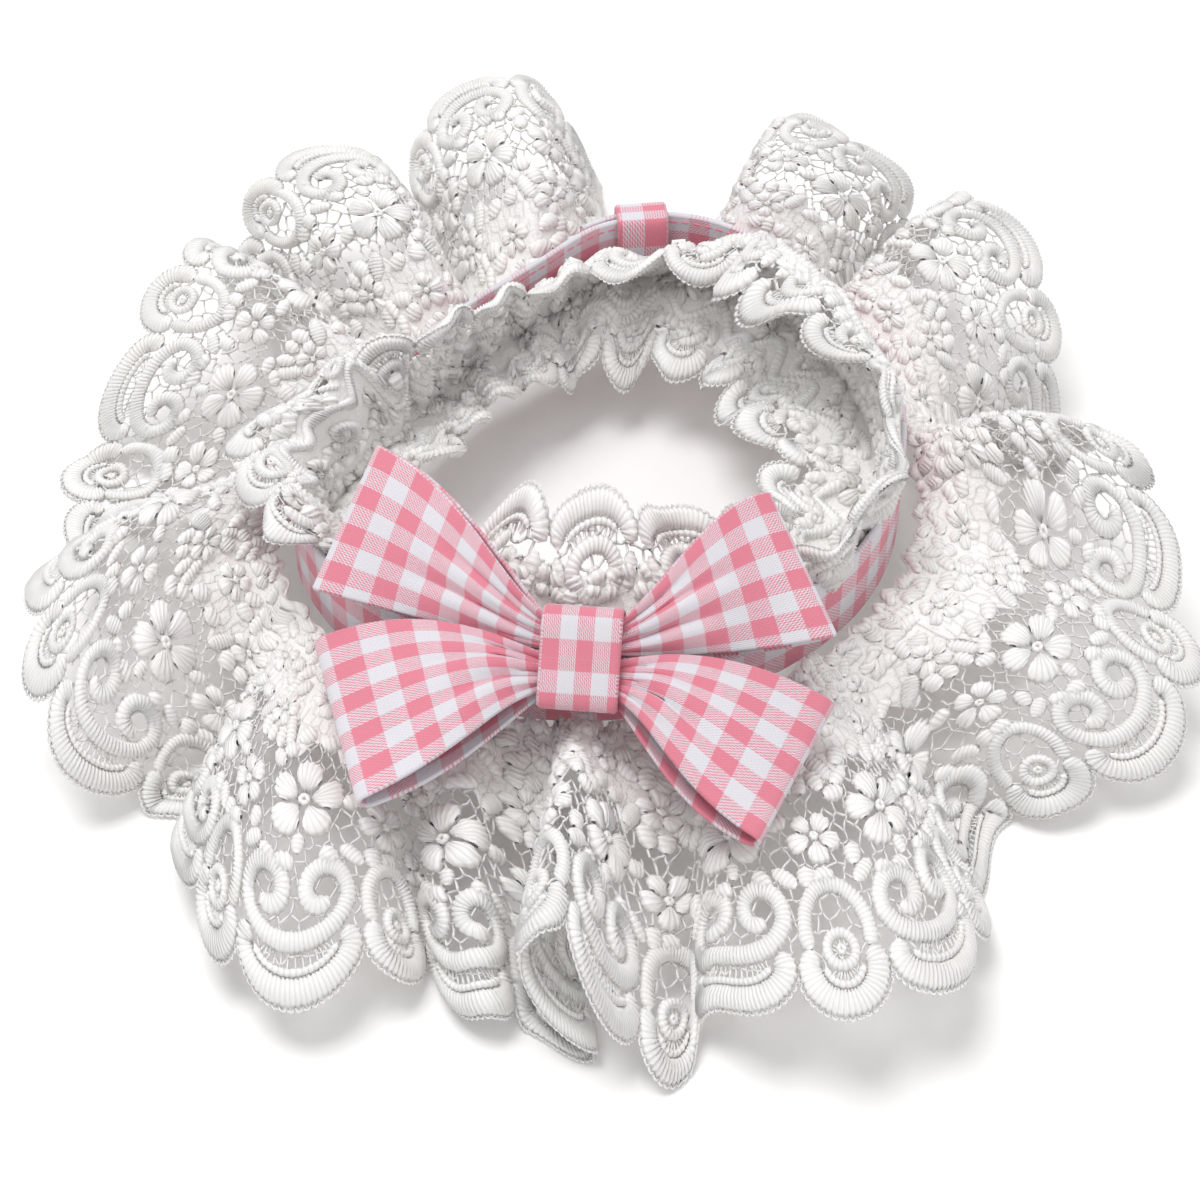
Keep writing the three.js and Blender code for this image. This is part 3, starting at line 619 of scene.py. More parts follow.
def spiral(x, y, wide, tight, start, turn, side, count=60):
    """A scroll's curl: the radius shrinks evenly from wide to tight as it turns."""
    share = np.linspace(0, 1, count)
    angle = np.radians(start + turn * share)
    radius = wide + (tight - wide) * share
    return np.stack([x + side * radius * np.cos(angle), y + radius * np.sin(angle)], -1)


def flower(x, y, radius, petals, turn, height=1.25, seed=0, section=PADDED_SECTION):
    """Petals whose stitches run out from the heart: each is a short arc round the heart, as wide as
    the petal is long, and a small ring stands in the middle."""
    parts = []
    inner, outer = 0.14 * radius, radius
    for k in range(int(petals)):
        middle = turn + 360 * k / petals
        reach = 0.5 * (inner + outer)
        spread = 0.43 * 360 / petals
        size = 1 - 0.08 * (k % 2)
        path = arc(x, y, reach * size, reach * size, middle - spread, middle + spread, 24)
        parts.append(
            satin(path, (outer - inner) * size, height, ends="petal", ridge=0.16, step=0.4, seed=seed + k,
                  section=section)
        )
    heart = arc(x, y, 0.09 * radius, 0.09 * radius, 0, 345, 24)
    parts.append(satin(heart, 0.9, 0.7, closed=True, step=0.5, base=0.5))
    return parts


def leaf(x, y, turn, length, width, height=1.15, seed=0, step=0.4, section=PADDED_SECTION):
    """A leaf or bud: one padded satin shape along its middle line."""
    angle = math.radians(turn)
    tip = np.array([x + length * math.cos(angle), y + length * math.sin(angle)])
    return satin(
        [[x, y], tip], width, height, ends="petal", ridge=0.18, step=step, seed=seed, section=section
    )


def gathered(y):
    """How much narrower the gathers make the lace, from 1 at the hem to GATHERED_SHARE at the band."""
    return 1 - (1 - GATHERED_SHARE) * np.clip(y / FLOUNCE_DEPTH, 0, 1)


def widened(mesh, x, share):
    """A motif drawn wider about x, so that it keeps its shape where the surface narrows it."""
    points, triangles, places = mesh
    return points * [1 / share, 1, 1] + [x - x / share, 0, 0], triangles, places


def rim_loops(edge, pitch, radius):
    """Small thread loops that stand out along an edge, `pitch` apart."""
    marks = evened(edge, pitch)[0]
    heading = unit(np.gradient(marks, axis=0))
    outward = np.stack([heading[:, 1], -heading[:, 0]], -1)
    turn = np.radians(np.linspace(0, 180, 5))
    return threads(
        marks[:, None]
        + heading[:, None] * (radius * np.cos(turn))[:, None]
        + outward[:, None] * (radius * np.sin(turn) - 0.1)[:, None],
        LOOP_RADIUS, 0.1,
    )


def ladder(curve, near, far, pitch):
    """Bars that cross the strip between two insets of a curve, `pitch` apart."""
    pick = np.linspace(0, len(curve) - 1, max(int(np.ptp(curve[:, 0]) / pitch), 3)).astype(int)
    start, end = inset(curve, near)[pick], inset(curve, far)[pick]
    return threads(np.stack([start, (start + end) / 2 + [0.12, 0], end], 1), LOOP_RADIUS, 0.1)


def scalloped_rim(start, width, reach, seed):
    """The edge of one scallop: a wide rim with a row of loops, a thin cord inside it and the ladder
    of bars that ties the cord to what lies inside."""
    rim = inset(scallop(start, width, reach), RIM_WIDTH / 2)
    rim = np.vstack([rim[0] + [0.5, 2.2], rim, rim[-1] + [-0.5, 2.2]])
    cord = inset(scallop(start, width, reach, share=(0.05, 0.95)), RIM_WIDTH + 0.6)
    return [
        satin(rim, RIM_WIDTH, 1.25, ridge=0.24, seed=seed),
        satin(cord, 1.3, 1.0, ridge=0.3, step=0.5, seed=seed + 1),
        rim_loops(scallop(start, width, reach, share=(0.03, 0.97)), PICOT_PITCH, PICOT_RADIUS),
        ladder(scallop(start, width, reach, share=(0.2, 0.8)), RIM_WIDTH + 0.9, RIM_WIDTH + 3.4, 1.5),
    ]


def heart_scroll():
    """Two curls joined by a bow that follows the broad scallop."""
    middle = BROAD / 2
    left, right = (
        spiral(middle + side * CURL_APART, CURL_Y, CURL_WIDE, CURL_TIGHT, -20, 335, side) for side in (-1, 1)
    )
    path = np.vstack([left[::-1], arc(middle, **SCROLL_BOW)[2:-2], right])
    return satin(path, CURL_WIDTH, 1.35, ridge=0.2, seed=11)


def spokes(x, y, turn, reach, radius):
    """Six bars from the heart of a ring at x, y to its inside."""
    angle = np.radians(np.arange(6) * 60 + turn)
    heading = np.stack([np.cos(angle), np.sin(angle)], -1)
    return threads(np.array([x, y]) + heading[:, None] * np.array([0.4, 1.2, reach])[None, :, None], radius)


def wheel(x, y):
    """A ring with six spokes and a knotted heart, under an arched cord."""
    return [
        satin(arc(x, y, WHEEL_RING, WHEEL_RING, 0, 352), 1.9, 1.2, closed=True, ridge=0.2, seed=21),
        satin(arc(x, y, WHEEL_HEART, WHEEL_HEART, 0, 330, 16), 1.0, 0.9, closed=True, step=0.5),
        spokes(x, y, 30, 2.1, LOOP_RADIUS),
        satin(arc(x, y + WHEEL_ARCH_RISE, **WHEEL_ARCH), WHEEL_ARCH_WIDTH, 1.3, ridge=0.2, seed=22),
    ]


def buds(first_row, last_row, seed):
    """Knotted buds that fill the lace and crowd it towards the band: jittered rows of small pads as
    far apart as they are wide, left out where a flower, a leaf or an open place is."""
    rng = np.random.default_rng(seed)
    parts = []
    for row, y in enumerate(np.arange(first_row, last_row, BUD_PITCH)):
        count = max(round(PATTERN_WIDTH * gathered(y) / BUD_PITCH), 3)
        for column in range(count):
            x = (column + 0.5 * (row % 2) + 0.25) * PATTERN_WIDTH / count
            place = np.array([x, y]) + rng.uniform(-0.6, 0.6, 2) / [gathered(y), 1]
            turn, length, width, chance = rng.uniform([0, 3.3, 3.0, 0], [180, 4.8, 3.9, 1])
            share = gathered(place[1])

            def nearest(centres):
                away = (centres - place) * [share, 1]
                away[:, 0] -= PATTERN_WIDTH * share * np.round(away[:, 0] / (PATTERN_WIDTH * share))
                return np.hypot(*away.T)

            taken = (nearest(FLOWERS[:, :2]) < FLOWERS[:, 2] + 0.9).any()
            taken |= (nearest(leaf_middles()) < 3.0).any() | (nearest(NET_GAPS) < NET_GAP_RADIUS + 0.6).any()
            if taken or chance > (y + 2) / (BUDS_FULL + 2):
                continue
            half = 0.5 * length * np.array([math.cos(math.radians(turn)), math.sin(math.radians(turn))])
            pad = satin([place - half, place + half], width, 1.35, ends="petal", ridge=0.16, step=0.5,
                        seed=seed + row * 10 + column)
            parts.append(widened(pad, place[0], share))
    return parts


def leaf_middles():
    """The middles of the leaves."""
    angle = np.radians(LEAVES[:, 2])
    return LEAVES[:, :2] + 0.5 * LEAVES[:, 3:4] * np.stack([np.cos(angle), np.sin(angle)], -1)


def net(width, cells, top, seed, keep):
    """A hand-made looking net: a honeycomb that repeats across the width, its knots shifted at
    random, every side a thread with a slight bend. keep(x, y) says which threads stay."""
    rng = np.random.default_rng(seed)
    a = width / cells
    side = a / math.sqrt(3)
    rows = int(top / (1.5 * side)) + 2
    shift = rng.uniform(-0.24 * a, 0.24 * a, (2, cells, rows + 3, 2))
    i, j = (v.ravel() for v in np.meshgrid(np.arange(cells), np.arange(rows), indexing="ij"))

    def knot(kind, i, j):
        x = (i + 0.5 * (j % 2)) * a
        y = j * 1.5 * side + (side if kind else -side)
        return np.stack([x, y], -1) + shift[kind, i % cells, j]

    start = np.concatenate([knot(1, i, j)] * 3)
    other = i + np.where(j % 2 == 0, -1, 1)
    end = np.concatenate([knot(0, i, j + 1), knot(0, other, j + 1), knot(0, i, j + 2)])
    middle = (start + end) / 2 + rng.uniform(-0.28, 0.28, start.shape)
    stay = keep(middle[:, 0] % width, middle[:, 1]) & (start[:, 1] < top)
    return threads(np.stack([start, middle, end], 1)[stay], THREAD_RADIUS)


def flounce_net_keep(x, y):
    """Threads stay inside the rims and outside flowers and the open places."""
    broad = x < BROAD
    share = np.clip(np.where(broad, x / BROAD, (x - BROAD) / NARROW), 0, 1)
    reach = np.where(broad, BROAD_REACH, NARROW_REACH)
    stay = y > NOTCH_Y - reach * np.sqrt(1 - (2 * share - 1) ** 2) + RIM_WIDTH + 1.6
    place = np.stack([x, y], -1)[:, None]
    squash = np.stack([gathered(y), np.ones_like(y)], -1)[:, None]
    stay &= (np.linalg.norm((place - FLOWERS[:, :2]) * squash, axis=-1) > 0.72 * FLOWERS[:, 2]).all(1)
    stay &= (np.linalg.norm((place - NET_GAPS) * squash, axis=-1) > 0.6 * NET_GAP_RADIUS).all(1)
    return stay


def flounce_repeat():
    """One repeat of the lace: cords and padded motifs, and the net between them."""
    cords = [
        *scalloped_rim(0, BROAD, BROAD_REACH, 1),
        *scalloped_rim(BROAD, NARROW, NARROW_REACH, 5),
        heart_scroll(),
        *wheel(BROAD + NARROW / 2, WHEEL_Y),
    ]
    for k, (x, y, radius, petals, turn) in enumerate(FLOWERS):
        bloom = flower(x, y, radius, petals, turn, 1.5 if radius > 7 else 1.3, seed=31 + 7 * k)
        cords.append(widened(joined(bloom), x, gathered(y)))
    for k, row in enumerate(LEAVES):
        cords.append(widened(leaf(*row, seed=81 + k), row[0], gathered(row[1])))
    cords += buds(BUDS_FROM, FLOUNCE_DEPTH + 0.5, 400)
    return joined(cords), net(PATTERN_WIDTH, NET_CELLS, NET_TOP, 5, flounce_net_keep)


def flounce_ground(first, last):
    """The dense ground between the gathers and a wavy line about GROUND_FROM from the hem."""

    def point(x, share):
        turn = 2 * np.pi * x / PATTERN_WIDTH
        start = GROUND_FROM + 2.2 * np.sin(3 * turn + 1) + 1.5 * np.sin(5 * turn)
        return flounce_surface(x, start + (FLOUNCE_DEPTH - 0.3 - start) * share)[0]

    x = np.linspace(first, last, 30 * (last - first) + 1) * PATTERN_WIDTH
    return shell(
        point, x, np.linspace(0, 1, 9), 0.5, 1, 20, steps=(0.6, 0.03),
        a_range=(2, REPEATS * PATTERN_WIDTH - 2), b_range=(0.03, 0.97),
    )


def strip_end(side):
    """The narrow turned hem at one end of the flounce's strip: side 0 its start, 1 its end."""
    x = np.linspace(0.2, END_HEM, 5)
    x = REPEATS * PATTERN_WIDTH - x[::-1] if side else x
    y = np.linspace(NOTCH_Y - 3, FLOUNCE_DEPTH - 0.5, 60)
    return shell(
        lambda x, y: flounce_surface(x, y)[0], x, y, 1.1, 1, 1, steps=(0.6, 0.8),
        a_range=(2, REPEATS * PATTERN_WIDTH - 2), b_range=(3, FLOUNCE_DEPTH - 2),
    )


def repeated(mesh, first, last, seed):
    """A repeat laid side by side, each one nudged: x and y move by up to 0.7 mm in its middle."""
    points, triangles, places = mesh
    n = last - first
    rng = np.random.default_rng(seed)
    nudge = rng.uniform(-0.7, 0.7, (REPEATS, 3))[first:last]
    middle = np.sin(np.pi * np.clip(points[:, 0] / PATTERN_WIDTH, 0, 1)) ** 2
    x = points[:, 0] + nudge[:, :1] * middle + PATTERN_WIDTH * np.arange(first, last)[:, None]
    y = points[:, 1] + nudge[:, 1:2] * middle * np.clip(points[:, 1] / 12, 0, 1)
    h = points[:, 2] * (1 + 0.12 * nudge[:, 2:])
    return (
        np.stack([x, y, h], -1).reshape(-1, 3),
        (triangles[None] + (np.arange(n) * len(points))[:, None, None]).reshape(-1, 3),
        np.tile(places, (n, 1, 1)),
    )


def laid(mesh, surface):
    """A flat mesh laid on a surface: each point goes to its place, then out along the normal."""
    points, triangles, places = mesh
    base, normal = surface(points[:, 0], points[:, 1])
    placed = base + normal * points[:, 2:]
    placed[:, 2] = np.maximum(placed[:, 2], THREAD_CLEAR)
    return placed, triangles, places


def shell(point, a, b, wall, size_a, size_b, closed=False, steps=(0.002, 0.01), a_range=(-9, 9),
          b_range=(-9, 9)):
    """A thin closed wall about the surface point(a, b): outer and inner grids half the wall away
    along the normals, joined by rounded rims. Places are the cut's own millimetres: b times size_b,
    and a times size_a, or size_a itself where it lists a length for each a."""
    grid_a, grid_b = np.meshgrid(a, b, indexing="ij")
    middle, normal = with_normals(point, grid_a, grid_b, *steps, a_range, b_range)
    rim_b = unit(middle[:, [0, -1]] - middle[:, [1, -2]]) * wall * 0.45
    rows = [middle + normal * wall / 2, (middle[:, -1] + rim_b[:, 1])[:, None],
            (middle - normal * wall / 2)[:, ::-1], (middle[:, 0] + rim_b[:, 0])[:, None]]
    ring = np.concatenate(rows, 1)
    across = np.concatenate([b, b[-1:], b[::-1], b[:1], b[:1]]) * size_b
    run = a * size_a if np.ndim(size_a) == 0 else np.asarray(size_a)
    run = np.append(run, 2 * run[-1] - run[-2])
    body = grid_mesh(ring, lambda i, j: np.stack([run[i], across[j]], -1), closed, True)
    if closed:
        return outwards(body)
    n, half = ring.shape[1], len(b)
    k = np.arange(half - 1)
    strip = np.concatenate([
        np.stack([k, 2 * half - k, k + 1], -1), np.stack([k + 1, 2 * half - k, 2 * half - k - 1], -1),
        [[half - 1, half + 1, half], [0, 2 * half + 1, 2 * half]],
    ]) % n
    last = (len(a) - 1) * n
    caps = np.concatenate([strip, strip[:, ::-1] + last])
    caps_at = np.stack([np.full(caps.shape, 0.0), across[caps % n]], -1)
    caps_at[len(strip):, :, 0] = run[len(a) - 1]
    return outwards((body[0], np.concatenate([body[1], caps]), np.concatenate([body[2], caps_at])))


# ---- materials ----
GLOW_DEPTH = 1.2 * MM
# The wave texture's scale that gives one band a unit.
WAVE_BAND = 2 * math.pi / 20


def linear(hex_colour):
    """sRGB hex to linear RGBA."""
    value = np.array([int(hex_colour[k:k + 2], 16) for k in (1, 3, 5)]) / 255
    value = np.where(value <= 0.04045, value / 12.92, ((value + 0.055) / 1.055) ** 2.4)
    return (*value.tolist(), 1.0)


def add(tree, kind, inputs=(), **settings):
    """Adds a node with its settings; inputs maps a socket's name or number to a value or an output."""
    made = tree.nodes.new(kind)
    for name, value in settings.items():
        setattr(made, name, value)
    for name, value in dict(inputs).items():
        if isinstance(value, bpy.types.NodeSocket):
            tree.links.new(value, made.inputs[name])
        else:
            made.inputs[name].default_value = value
    return made


def new_material(name, roughness, sheen, glow=0.0):
    """A material with one cloth shader: rough, dielectric, with a soft nap. glow is the share of
    light that scatters inside the thread, up to GLOW_DEPTH deep, and softens its shadows."""
    material = bpy.data.materials.new(name)
    material.use_nodes = True
    tree = material.node_tree
    tree.nodes.clear()
    shader = add(tree, "ShaderNodeBsdfPrincipled", {
        "Roughness": roughness, "IOR": 1.5, "Sheen Weight": sheen, "Sheen Roughness": 0.5,
        "Subsurface Weight": glow, "Subsurface Radius": (1, 1, 1), "Subsurface Scale": GLOW_DEPTH,
    })
    output = add(tree, "ShaderNodeOutputMaterial")
    tree.links.new(shader.outputs[0], output.inputs[0])
    return material, tree, shader


def cotton_satin_stitch(name, colour, shade):
    """Mercerised cotton thread, satin-stitched by machine: white, with a soft lustre. The map counts
    stitches along each cord, so each stitch swells between two fine grooves, and painted shade darkens
    the colour towards the shade colour in those grooves; every stitch is a few threads, drawn as lines a
    third of it apart."""
    material, tree, shader = new_material(name, 0.6, 0.2, 0.35)
    place = add(tree, "ShaderNodeTexCoord")
    stitches = add(tree, "ShaderNodeTexWave", {
        "Vector": place.outputs["UV"], "Scale": WAVE_BAND, "Distortion": 0.8, "Detail": 2.0,
        "Detail Scale": 1.5, "Phase Offset": math.pi / 2,
    }, wave_type="BANDS", bands_direction="X")
    strands = add(tree, "ShaderNodeTexWave", {
        "Vector": place.outputs["UV"], "Scale": 3 * WAVE_BAND, "Distortion": 1.6, "Detail": 2.0,
    }, wave_type="BANDS", bands_direction="X")
    # Painted shade: the thread's colour is darkened towards the shade colour in the grooves between stitches.
    groove_painted_shade = add(tree, "ShaderNodeMapRange", {0: stitches.outputs["Fac"], 1: 0.0, 2: 0.45})
    colour_with_painted_shade = add(tree, "ShaderNodeMix", {
        0: groove_painted_shade.outputs[0], 6: linear(shade), 7: linear(colour),
    }, data_type="RGBA")
    tree.links.new(colour_with_painted_shade.outputs[2], shader.inputs["Base Color"])
    height = add(tree, "ShaderNodeMath", {0: strands.outputs["Fac"], 1: 0.25}, operation="MULTIPLY")
    height = add(tree, "ShaderNodeMath", {0: stitches.outputs["Fac"], 1: height.outputs[0]}, operation="ADD")
    bump = add(tree, "ShaderNodeBump", {"Height": height.outputs[0], "Strength": 0.7, "Distance": 0.16 * MM})
    tree.links.new(bump.outputs[0], shader.inputs["Normal"])
    return material


def cotton_net_thread(name, colour):
    """Twisted cotton bride thread: white and matt, its ply too fine to show."""
    material, tree, shader = new_material(name, 0.75, 0.2, 0.35)
    place = add(tree, "ShaderNodeTexCoord")
    ply = add(tree, "ShaderNodeTexNoise", {
        "Vector": place.outputs["Object"], "Scale": 0.9 / MM, "Detail": 2.0,
    })
    tint = add(tree, "ShaderNodeMapRange", {0: ply.outputs["Fac"], 3: 0.9, 4: 1.05})
    mixed = add(tree, "ShaderNodeMix", {0: 1.0, 6: linear(colour), 7: tint.outputs[0]},
                data_type="RGBA", blend_type="MULTIPLY")
    tree.links.new(mixed.outputs[2], shader.inputs["Base Color"])
    bump = add(tree, "ShaderNodeBump", {"Height": ply.outputs["Fac"], "Strength": 0.4, "Distance": 0.1 * MM})
    tree.links.new(bump.outputs[0], shader.inputs["Normal"])
    return material


def cotton_toile(name, colour):
    """Dense machine-stitched cotton ground: short stitches in crossing layers, which give it an
    uneven face of small lumps about a millimetre wide."""
    material, tree, shader = new_material(name, 0.8, 0.25, 0.35)
    place = add(tree, "ShaderNodeTexCoord")
    lumps = add(tree, "ShaderNodeTexVoronoi", {"Vector": place.outputs["Object"], "Scale": 0.9 / MM},
                feature="SMOOTH_F1")
    fluff = add(tree, "ShaderNodeTexNoise", {
        "Vector": place.outputs["Object"], "Scale": 3 / MM, "Detail": 3.0,
    })
    height = add(tree, "ShaderNodeMath", {0: fluff.outputs["Fac"], 1: lumps.outputs["Distance"]},
                 operation="SUBTRACT")
    bump = add(tree, "ShaderNodeBump", {"Height": height.outputs[0], "Strength": 0.8, "Distance": 0.3 * MM})
    tree.links.new(bump.outputs[0], shader.inputs["Normal"])
    shader.inputs["Base Color"].default_value = linear(colour)
    return material


# The gingham's diagonals and its weft yarns, millimetres apart, coarser than real ones so that they
# show, and the width of the soft edge between two stripes, as a share of the stripes' sine.
TWILL_PITCH, WEFT_PITCH = 0.85, 0.55
STRIPE_EDGE = 0.06


def woven_gingham(name, white, pink, check):
    """Yarn-dyed cotton gingham: equal stripes of white and pink in warp and weft, solid where pink
    crosses pink, and a fine diagonal of both yarns where pink crosses white."""
    material, tree, shader = new_material(name, 0.7, 0.3)
    place = add(tree, "ShaderNodeTexCoord")
    wobble = add(tree, "ShaderNodeTexNoise", {"Vector": place.outputs["UV"], "Scale": 2.2, "Detail": 1.0})
    fray = add(tree, "ShaderNodeVectorMath", {0: wobble.outputs["Color"], 1: (-0.5, -0.5, 0)},
               operation="ADD")
    fray = add(tree, "ShaderNodeVectorMath", {0: fray.outputs[0], "Scale": 0.25}, operation="SCALE")
    moved = add(tree, "ShaderNodeVectorMath", {0: place.outputs["UV"], 1: fray.outputs[0]}, operation="ADD")
    split = add(tree, "ShaderNodeSeparateXYZ", {0: moved.outputs[0]})
    stripes = []
    for axis in (0, 1):
        turn = add(tree, "ShaderNodeMath", {0: split.outputs[axis], 1: math.pi / check}, operation="MULTIPLY")
        wave = add(tree, "ShaderNodeMath", {0: turn.outputs[0]}, operation="SINE")
        edge = add(tree, "ShaderNodeMapRange", {0: wave.outputs[0], 1: -STRIPE_EDGE, 2: STRIPE_EDGE})
        stripes.append(edge.outputs[0])
    both = add(tree, "ShaderNodeMath", {0: stripes[0], 1: stripes[1]}, operation="MULTIPLY")
    either = add(tree, "ShaderNodeMath", {0: stripes[0], 1: stripes[1]}, operation="MAXIMUM")
    diagonal = add(tree, "ShaderNodeMath", {0: split.outputs[0], 1: split.outputs[1]}, operation="ADD")
    diagonal = add(tree, "ShaderNodeMath", {0: diagonal.outputs[0], 1: 2 * math.pi / TWILL_PITCH},
                   operation="MULTIPLY")
    cross = add(tree, "ShaderNodeMath", {0: split.outputs[1], 1: 2 * math.pi / WEFT_PITCH},
                operation="MULTIPLY")
    first = add(tree, "ShaderNodeMath", {0: diagonal.outputs[0]}, operation="SINE")
    second = add(tree, "ShaderNodeMath", {0: cross.outputs[0]}, operation="SINE")
    yarns = add(tree, "ShaderNodeMath", {0: first.outputs[0], 1: second.outputs[0]}, operation="ADD")
    twill = add(tree, "ShaderNodeMapRange", {0: yarns.outputs[0], 1: -1.0, 2: 1.0, 3: 0.02, 4: 1.0})
    halfway = add(tree, "ShaderNodeMath", {0: twill.outputs[0], 1: either.outputs[0]}, operation="MULTIPLY")
    amount = add(tree, "ShaderNodeMath", {0: halfway.outputs[0], 1: both.outputs[0]}, operation="MAXIMUM")
    dye = add(tree, "ShaderNodeMix", {0: amount.outputs[0], 6: white, 7: pink}, data_type="RGBA")
    fade = add(tree, "ShaderNodeTexNoise", {"Vector": place.outputs["Object"], "Scale": 90.0, "Detail": 4.0})
    tint = add(tree, "ShaderNodeMapRange", {0: fade.outputs["Fac"], 3: 0.93, 4: 1.04})
    worn = add(tree, "ShaderNodeMix", {0: 1.0, 6: dye.outputs[2], 7: tint.outputs[0]},
               data_type="RGBA", blend_type="MULTIPLY")
    tree.links.new(worn.outputs[2], shader.inputs["Base Color"])
    bump = add(tree, "ShaderNodeBump", {"Height": yarns.outputs[0], "Strength": 0.35, "Distance": 0.08 * MM})
    tree.links.new(bump.outputs[0], shader.inputs["Normal"])
    return material


def sewing_thread(name, colour):
    """Polyester topstitch thread: a little glossier than the cotton, with a twist 0.5 mm long."""
    material, tree, shader = new_material(name, 0.5, 0.1)
    place = add(tree, "ShaderNodeTexCoord")
    twist = add(tree, "ShaderNodeTexWave", {"Vector": place.outputs["UV"], "Scale": WAVE_BAND / 0.5},
                bands_direction="DIAGONAL")
    bump = add(tree, "ShaderNodeBump", {
        "Height": twist.outputs["Fac"], "Strength": 0.4, "Distance": 0.1 * MM,
    })
    tree.links.new(bump.outputs[0], shader.inputs["Normal"])
    shader.inputs["Base Color"].default_value = linear(colour)
    return material


def matt_board(name, colour):
    """Painted board: white, matt, with a faint roller grain."""
    material, tree, shader = new_material(name, 0.9, 0.0)
    place = add(tree, "ShaderNodeTexCoord")
    grain = add(tree, "ShaderNodeTexNoise", {
        "Vector": place.outputs["Object"], "Scale": 0.4 / MM, "Detail": 2.0,
    })
    bump = add(tree, "ShaderNodeBump", {
        "Height": grain.outputs["Fac"], "Strength": 0.05, "Distance": 0.1 * MM,
    })
    tree.links.new(bump.outputs[0], shader.inputs["Normal"])
    shader.inputs["Base Color"].default_value = colour
    return material


MATERIALS = {}


def material(key):
    """Each material, made once from the panel's colours."""
    colours = bpy.context.scene.collar
    makers = {
        # The satin's second colour, #E9E6E3, is painted shade for the grooves between stitches.
        "satin": lambda: cotton_satin_stitch("cotton_satin_stitch", "#FCFBF8", "#E9E6E3"),
        "net": lambda: cotton_net_thread("cotton_net_thread", "#F9F7F4"),
        "toile": lambda: cotton_toile("cotton_toile", "#FBF9F6"),
        "gingham": lambda: woven_gingham(
            "woven_gingham", (*colours.white_yarn, 1), (*colours.pink_yarn, 1), colours.check / MM
        ),
        "thread": lambda: sewing_thread("polyester_topstitch", "#E27F95"),
    }
    if key not in MATERIALS:
        MATERIALS[key] = makers[key]()
    return MATERIALS[key]


# ---- putting meshes into the scene ----
def put(name, layers, nodes=()):
    """Makes one object from layers of (mesh in millimetres, material)."""
    points, triangles, places = joined([mesh for mesh, key in layers])
    data = bpy.data.meshes.new(name)
    data.vertices.add(len(points))
    data.loops.add(3 * len(triangles))
    data.polygons.add(len(triangles))
    data.vertices.foreach_set("co", ((points + SHIFT) * MM).astype(np.float32).ravel())
    data.loops.foreach_set("vertex_index", triangles.astype(np.int32).ravel())
    data.polygons.foreach_set("loop_start", np.arange(0, 3 * len(triangles), 3, dtype=np.int32))
    data.polygons.foreach_set("use_smooth", np.ones(len(triangles), bool))
    for mesh, key in layers:
        data.materials.append(material(key))
    index = np.repeat(np.arange(len(layers), dtype=np.int32), [len(mesh[1]) for mesh, key in layers])
    data.polygons.foreach_set("material_index", index)
    layer = data.uv_layers.new(name="cut_mm")
    layer.uv.foreach_set("vector", places.astype(np.float32).ravel())
    data.update(calc_edges=True)
    data.validate()
    made = bpy.data.objects.new(name, data)
    bpy.context.collection.objects.link(made)
    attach(made, "root")
    if nodes:
        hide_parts(*nodes)
    return made


# ---- the add-on ----
class CollarSettings(bpy.types.PropertyGroup):
    white_yarn: bpy.props.FloatVectorProperty(
        name="White yarn", description="Colour of the gingham's white yarn", subtype="COLOR", size=3,
        default=linear("#DDDAE1")[:3],
    )
    pink_yarn: bpy.props.FloatVectorProperty(
        name="Pink yarn", description="Colour of the gingham's pink yarn", subtype="COLOR", size=3,
        default=linear("#DF8093")[:3],
    )
    check: bpy.props.FloatProperty(
        name="Check", description="Width of one stripe of the gingham", unit="LENGTH", default=4.7 * MM,
    )
    key_power: bpy.props.FloatProperty(
        name="Key light", description="Power of the large soft light", subtype="POWER", default=8.5,
    )
    sky: bpy.props.FloatProperty(
        name="Studio light", description="Strength of the even white light all round", default=0.66,
    )


class COLLAR_OT_flounce(bpy.types.Operator):
    """The gathered lace flounce, in lengths of whole repeats"""

    bl_idname = "collar.flounce"
    bl_label = "Flounce"

    def execute(self, context):
        cords, bars = flounce_repeat()
        split = round(float(np.interp(SPLIT_FLUTE, HEM_FLUTES, HEM_TRACK)) / REPEAT)
        middle = (split + REPEATS) // 2
        lengths = {
            "flounce_left_back": (0, split // 2, "flounce_left"),
            "flounce_left_front": (split // 2, split, "flounce_left"),
            "flounce_right_front": (split, middle - 1, "flounce_right"),
            "flounce_right_side": (middle - 1, REPEATS - 5, "flounce_right"),
            "flounce_right_back": (REPEATS - 5, REPEATS, "flounce_right"),
        }
        for name, (first, last, node) in lengths.items():
            solid = [flounce_ground(first, last)]
            solid += [strip_end(side) for side, at in enumerate((0, REPEATS)) if at in (first, last)]
            layers = [
                (laid(repeated(cords, first, last, 3), flounce_surface), "satin"),
                (laid(repeated(bars, first, last, 3), flounce_surface), "net"),
                (joined(solid), "toile"),
            ]
            piece = put(name, layers, [node])
        return {"FINISHED"}


class COLLAR_OT_frill(bpy.types.Operator):
    """The double-edged lace frill inside the band"""

    bl_idname = "collar.frill"
    bl_label = "Frill"

    def execute(self, context):
        ground = shell(
            lambda turn, across: frill_point(turn * 360, across), np.arange(0, 300) / 300,
            np.linspace(*FRILL_GROUND_EDGES, 25), 0.6, 360, FRILL_DEPTHS[1], closed=True, steps=(0.001, 0.02),
        )
        halves = {1: "neck_frill_upper_lace", -1: "neck_frill_lower_lace"}
        for edge, name in halves.items():
            surface, length = frill_surface(edge)
            count = round(length / LOBE_WIDTHS[edge])
            lobes = joined([frill_lobe(k, edge, length / count) for k in range(count)])
            vine = frill_vine(length, count, VINE_Y[edge])
            cords = joined([
                laid(lobes, surface), laid(vine, surface), laid(frill_motifs(edge), frill_ground),
            ])
            layers, depth = [(cords, "satin")], FRILL_DEPTHS[edge]
            if edge > 0:
                layers, depth = [(ground, "toile"), *layers], sum(FRILL_DEPTHS.values())
            piece = put(name, layers, ["neck_frill"])
        return {"FINISHED"}


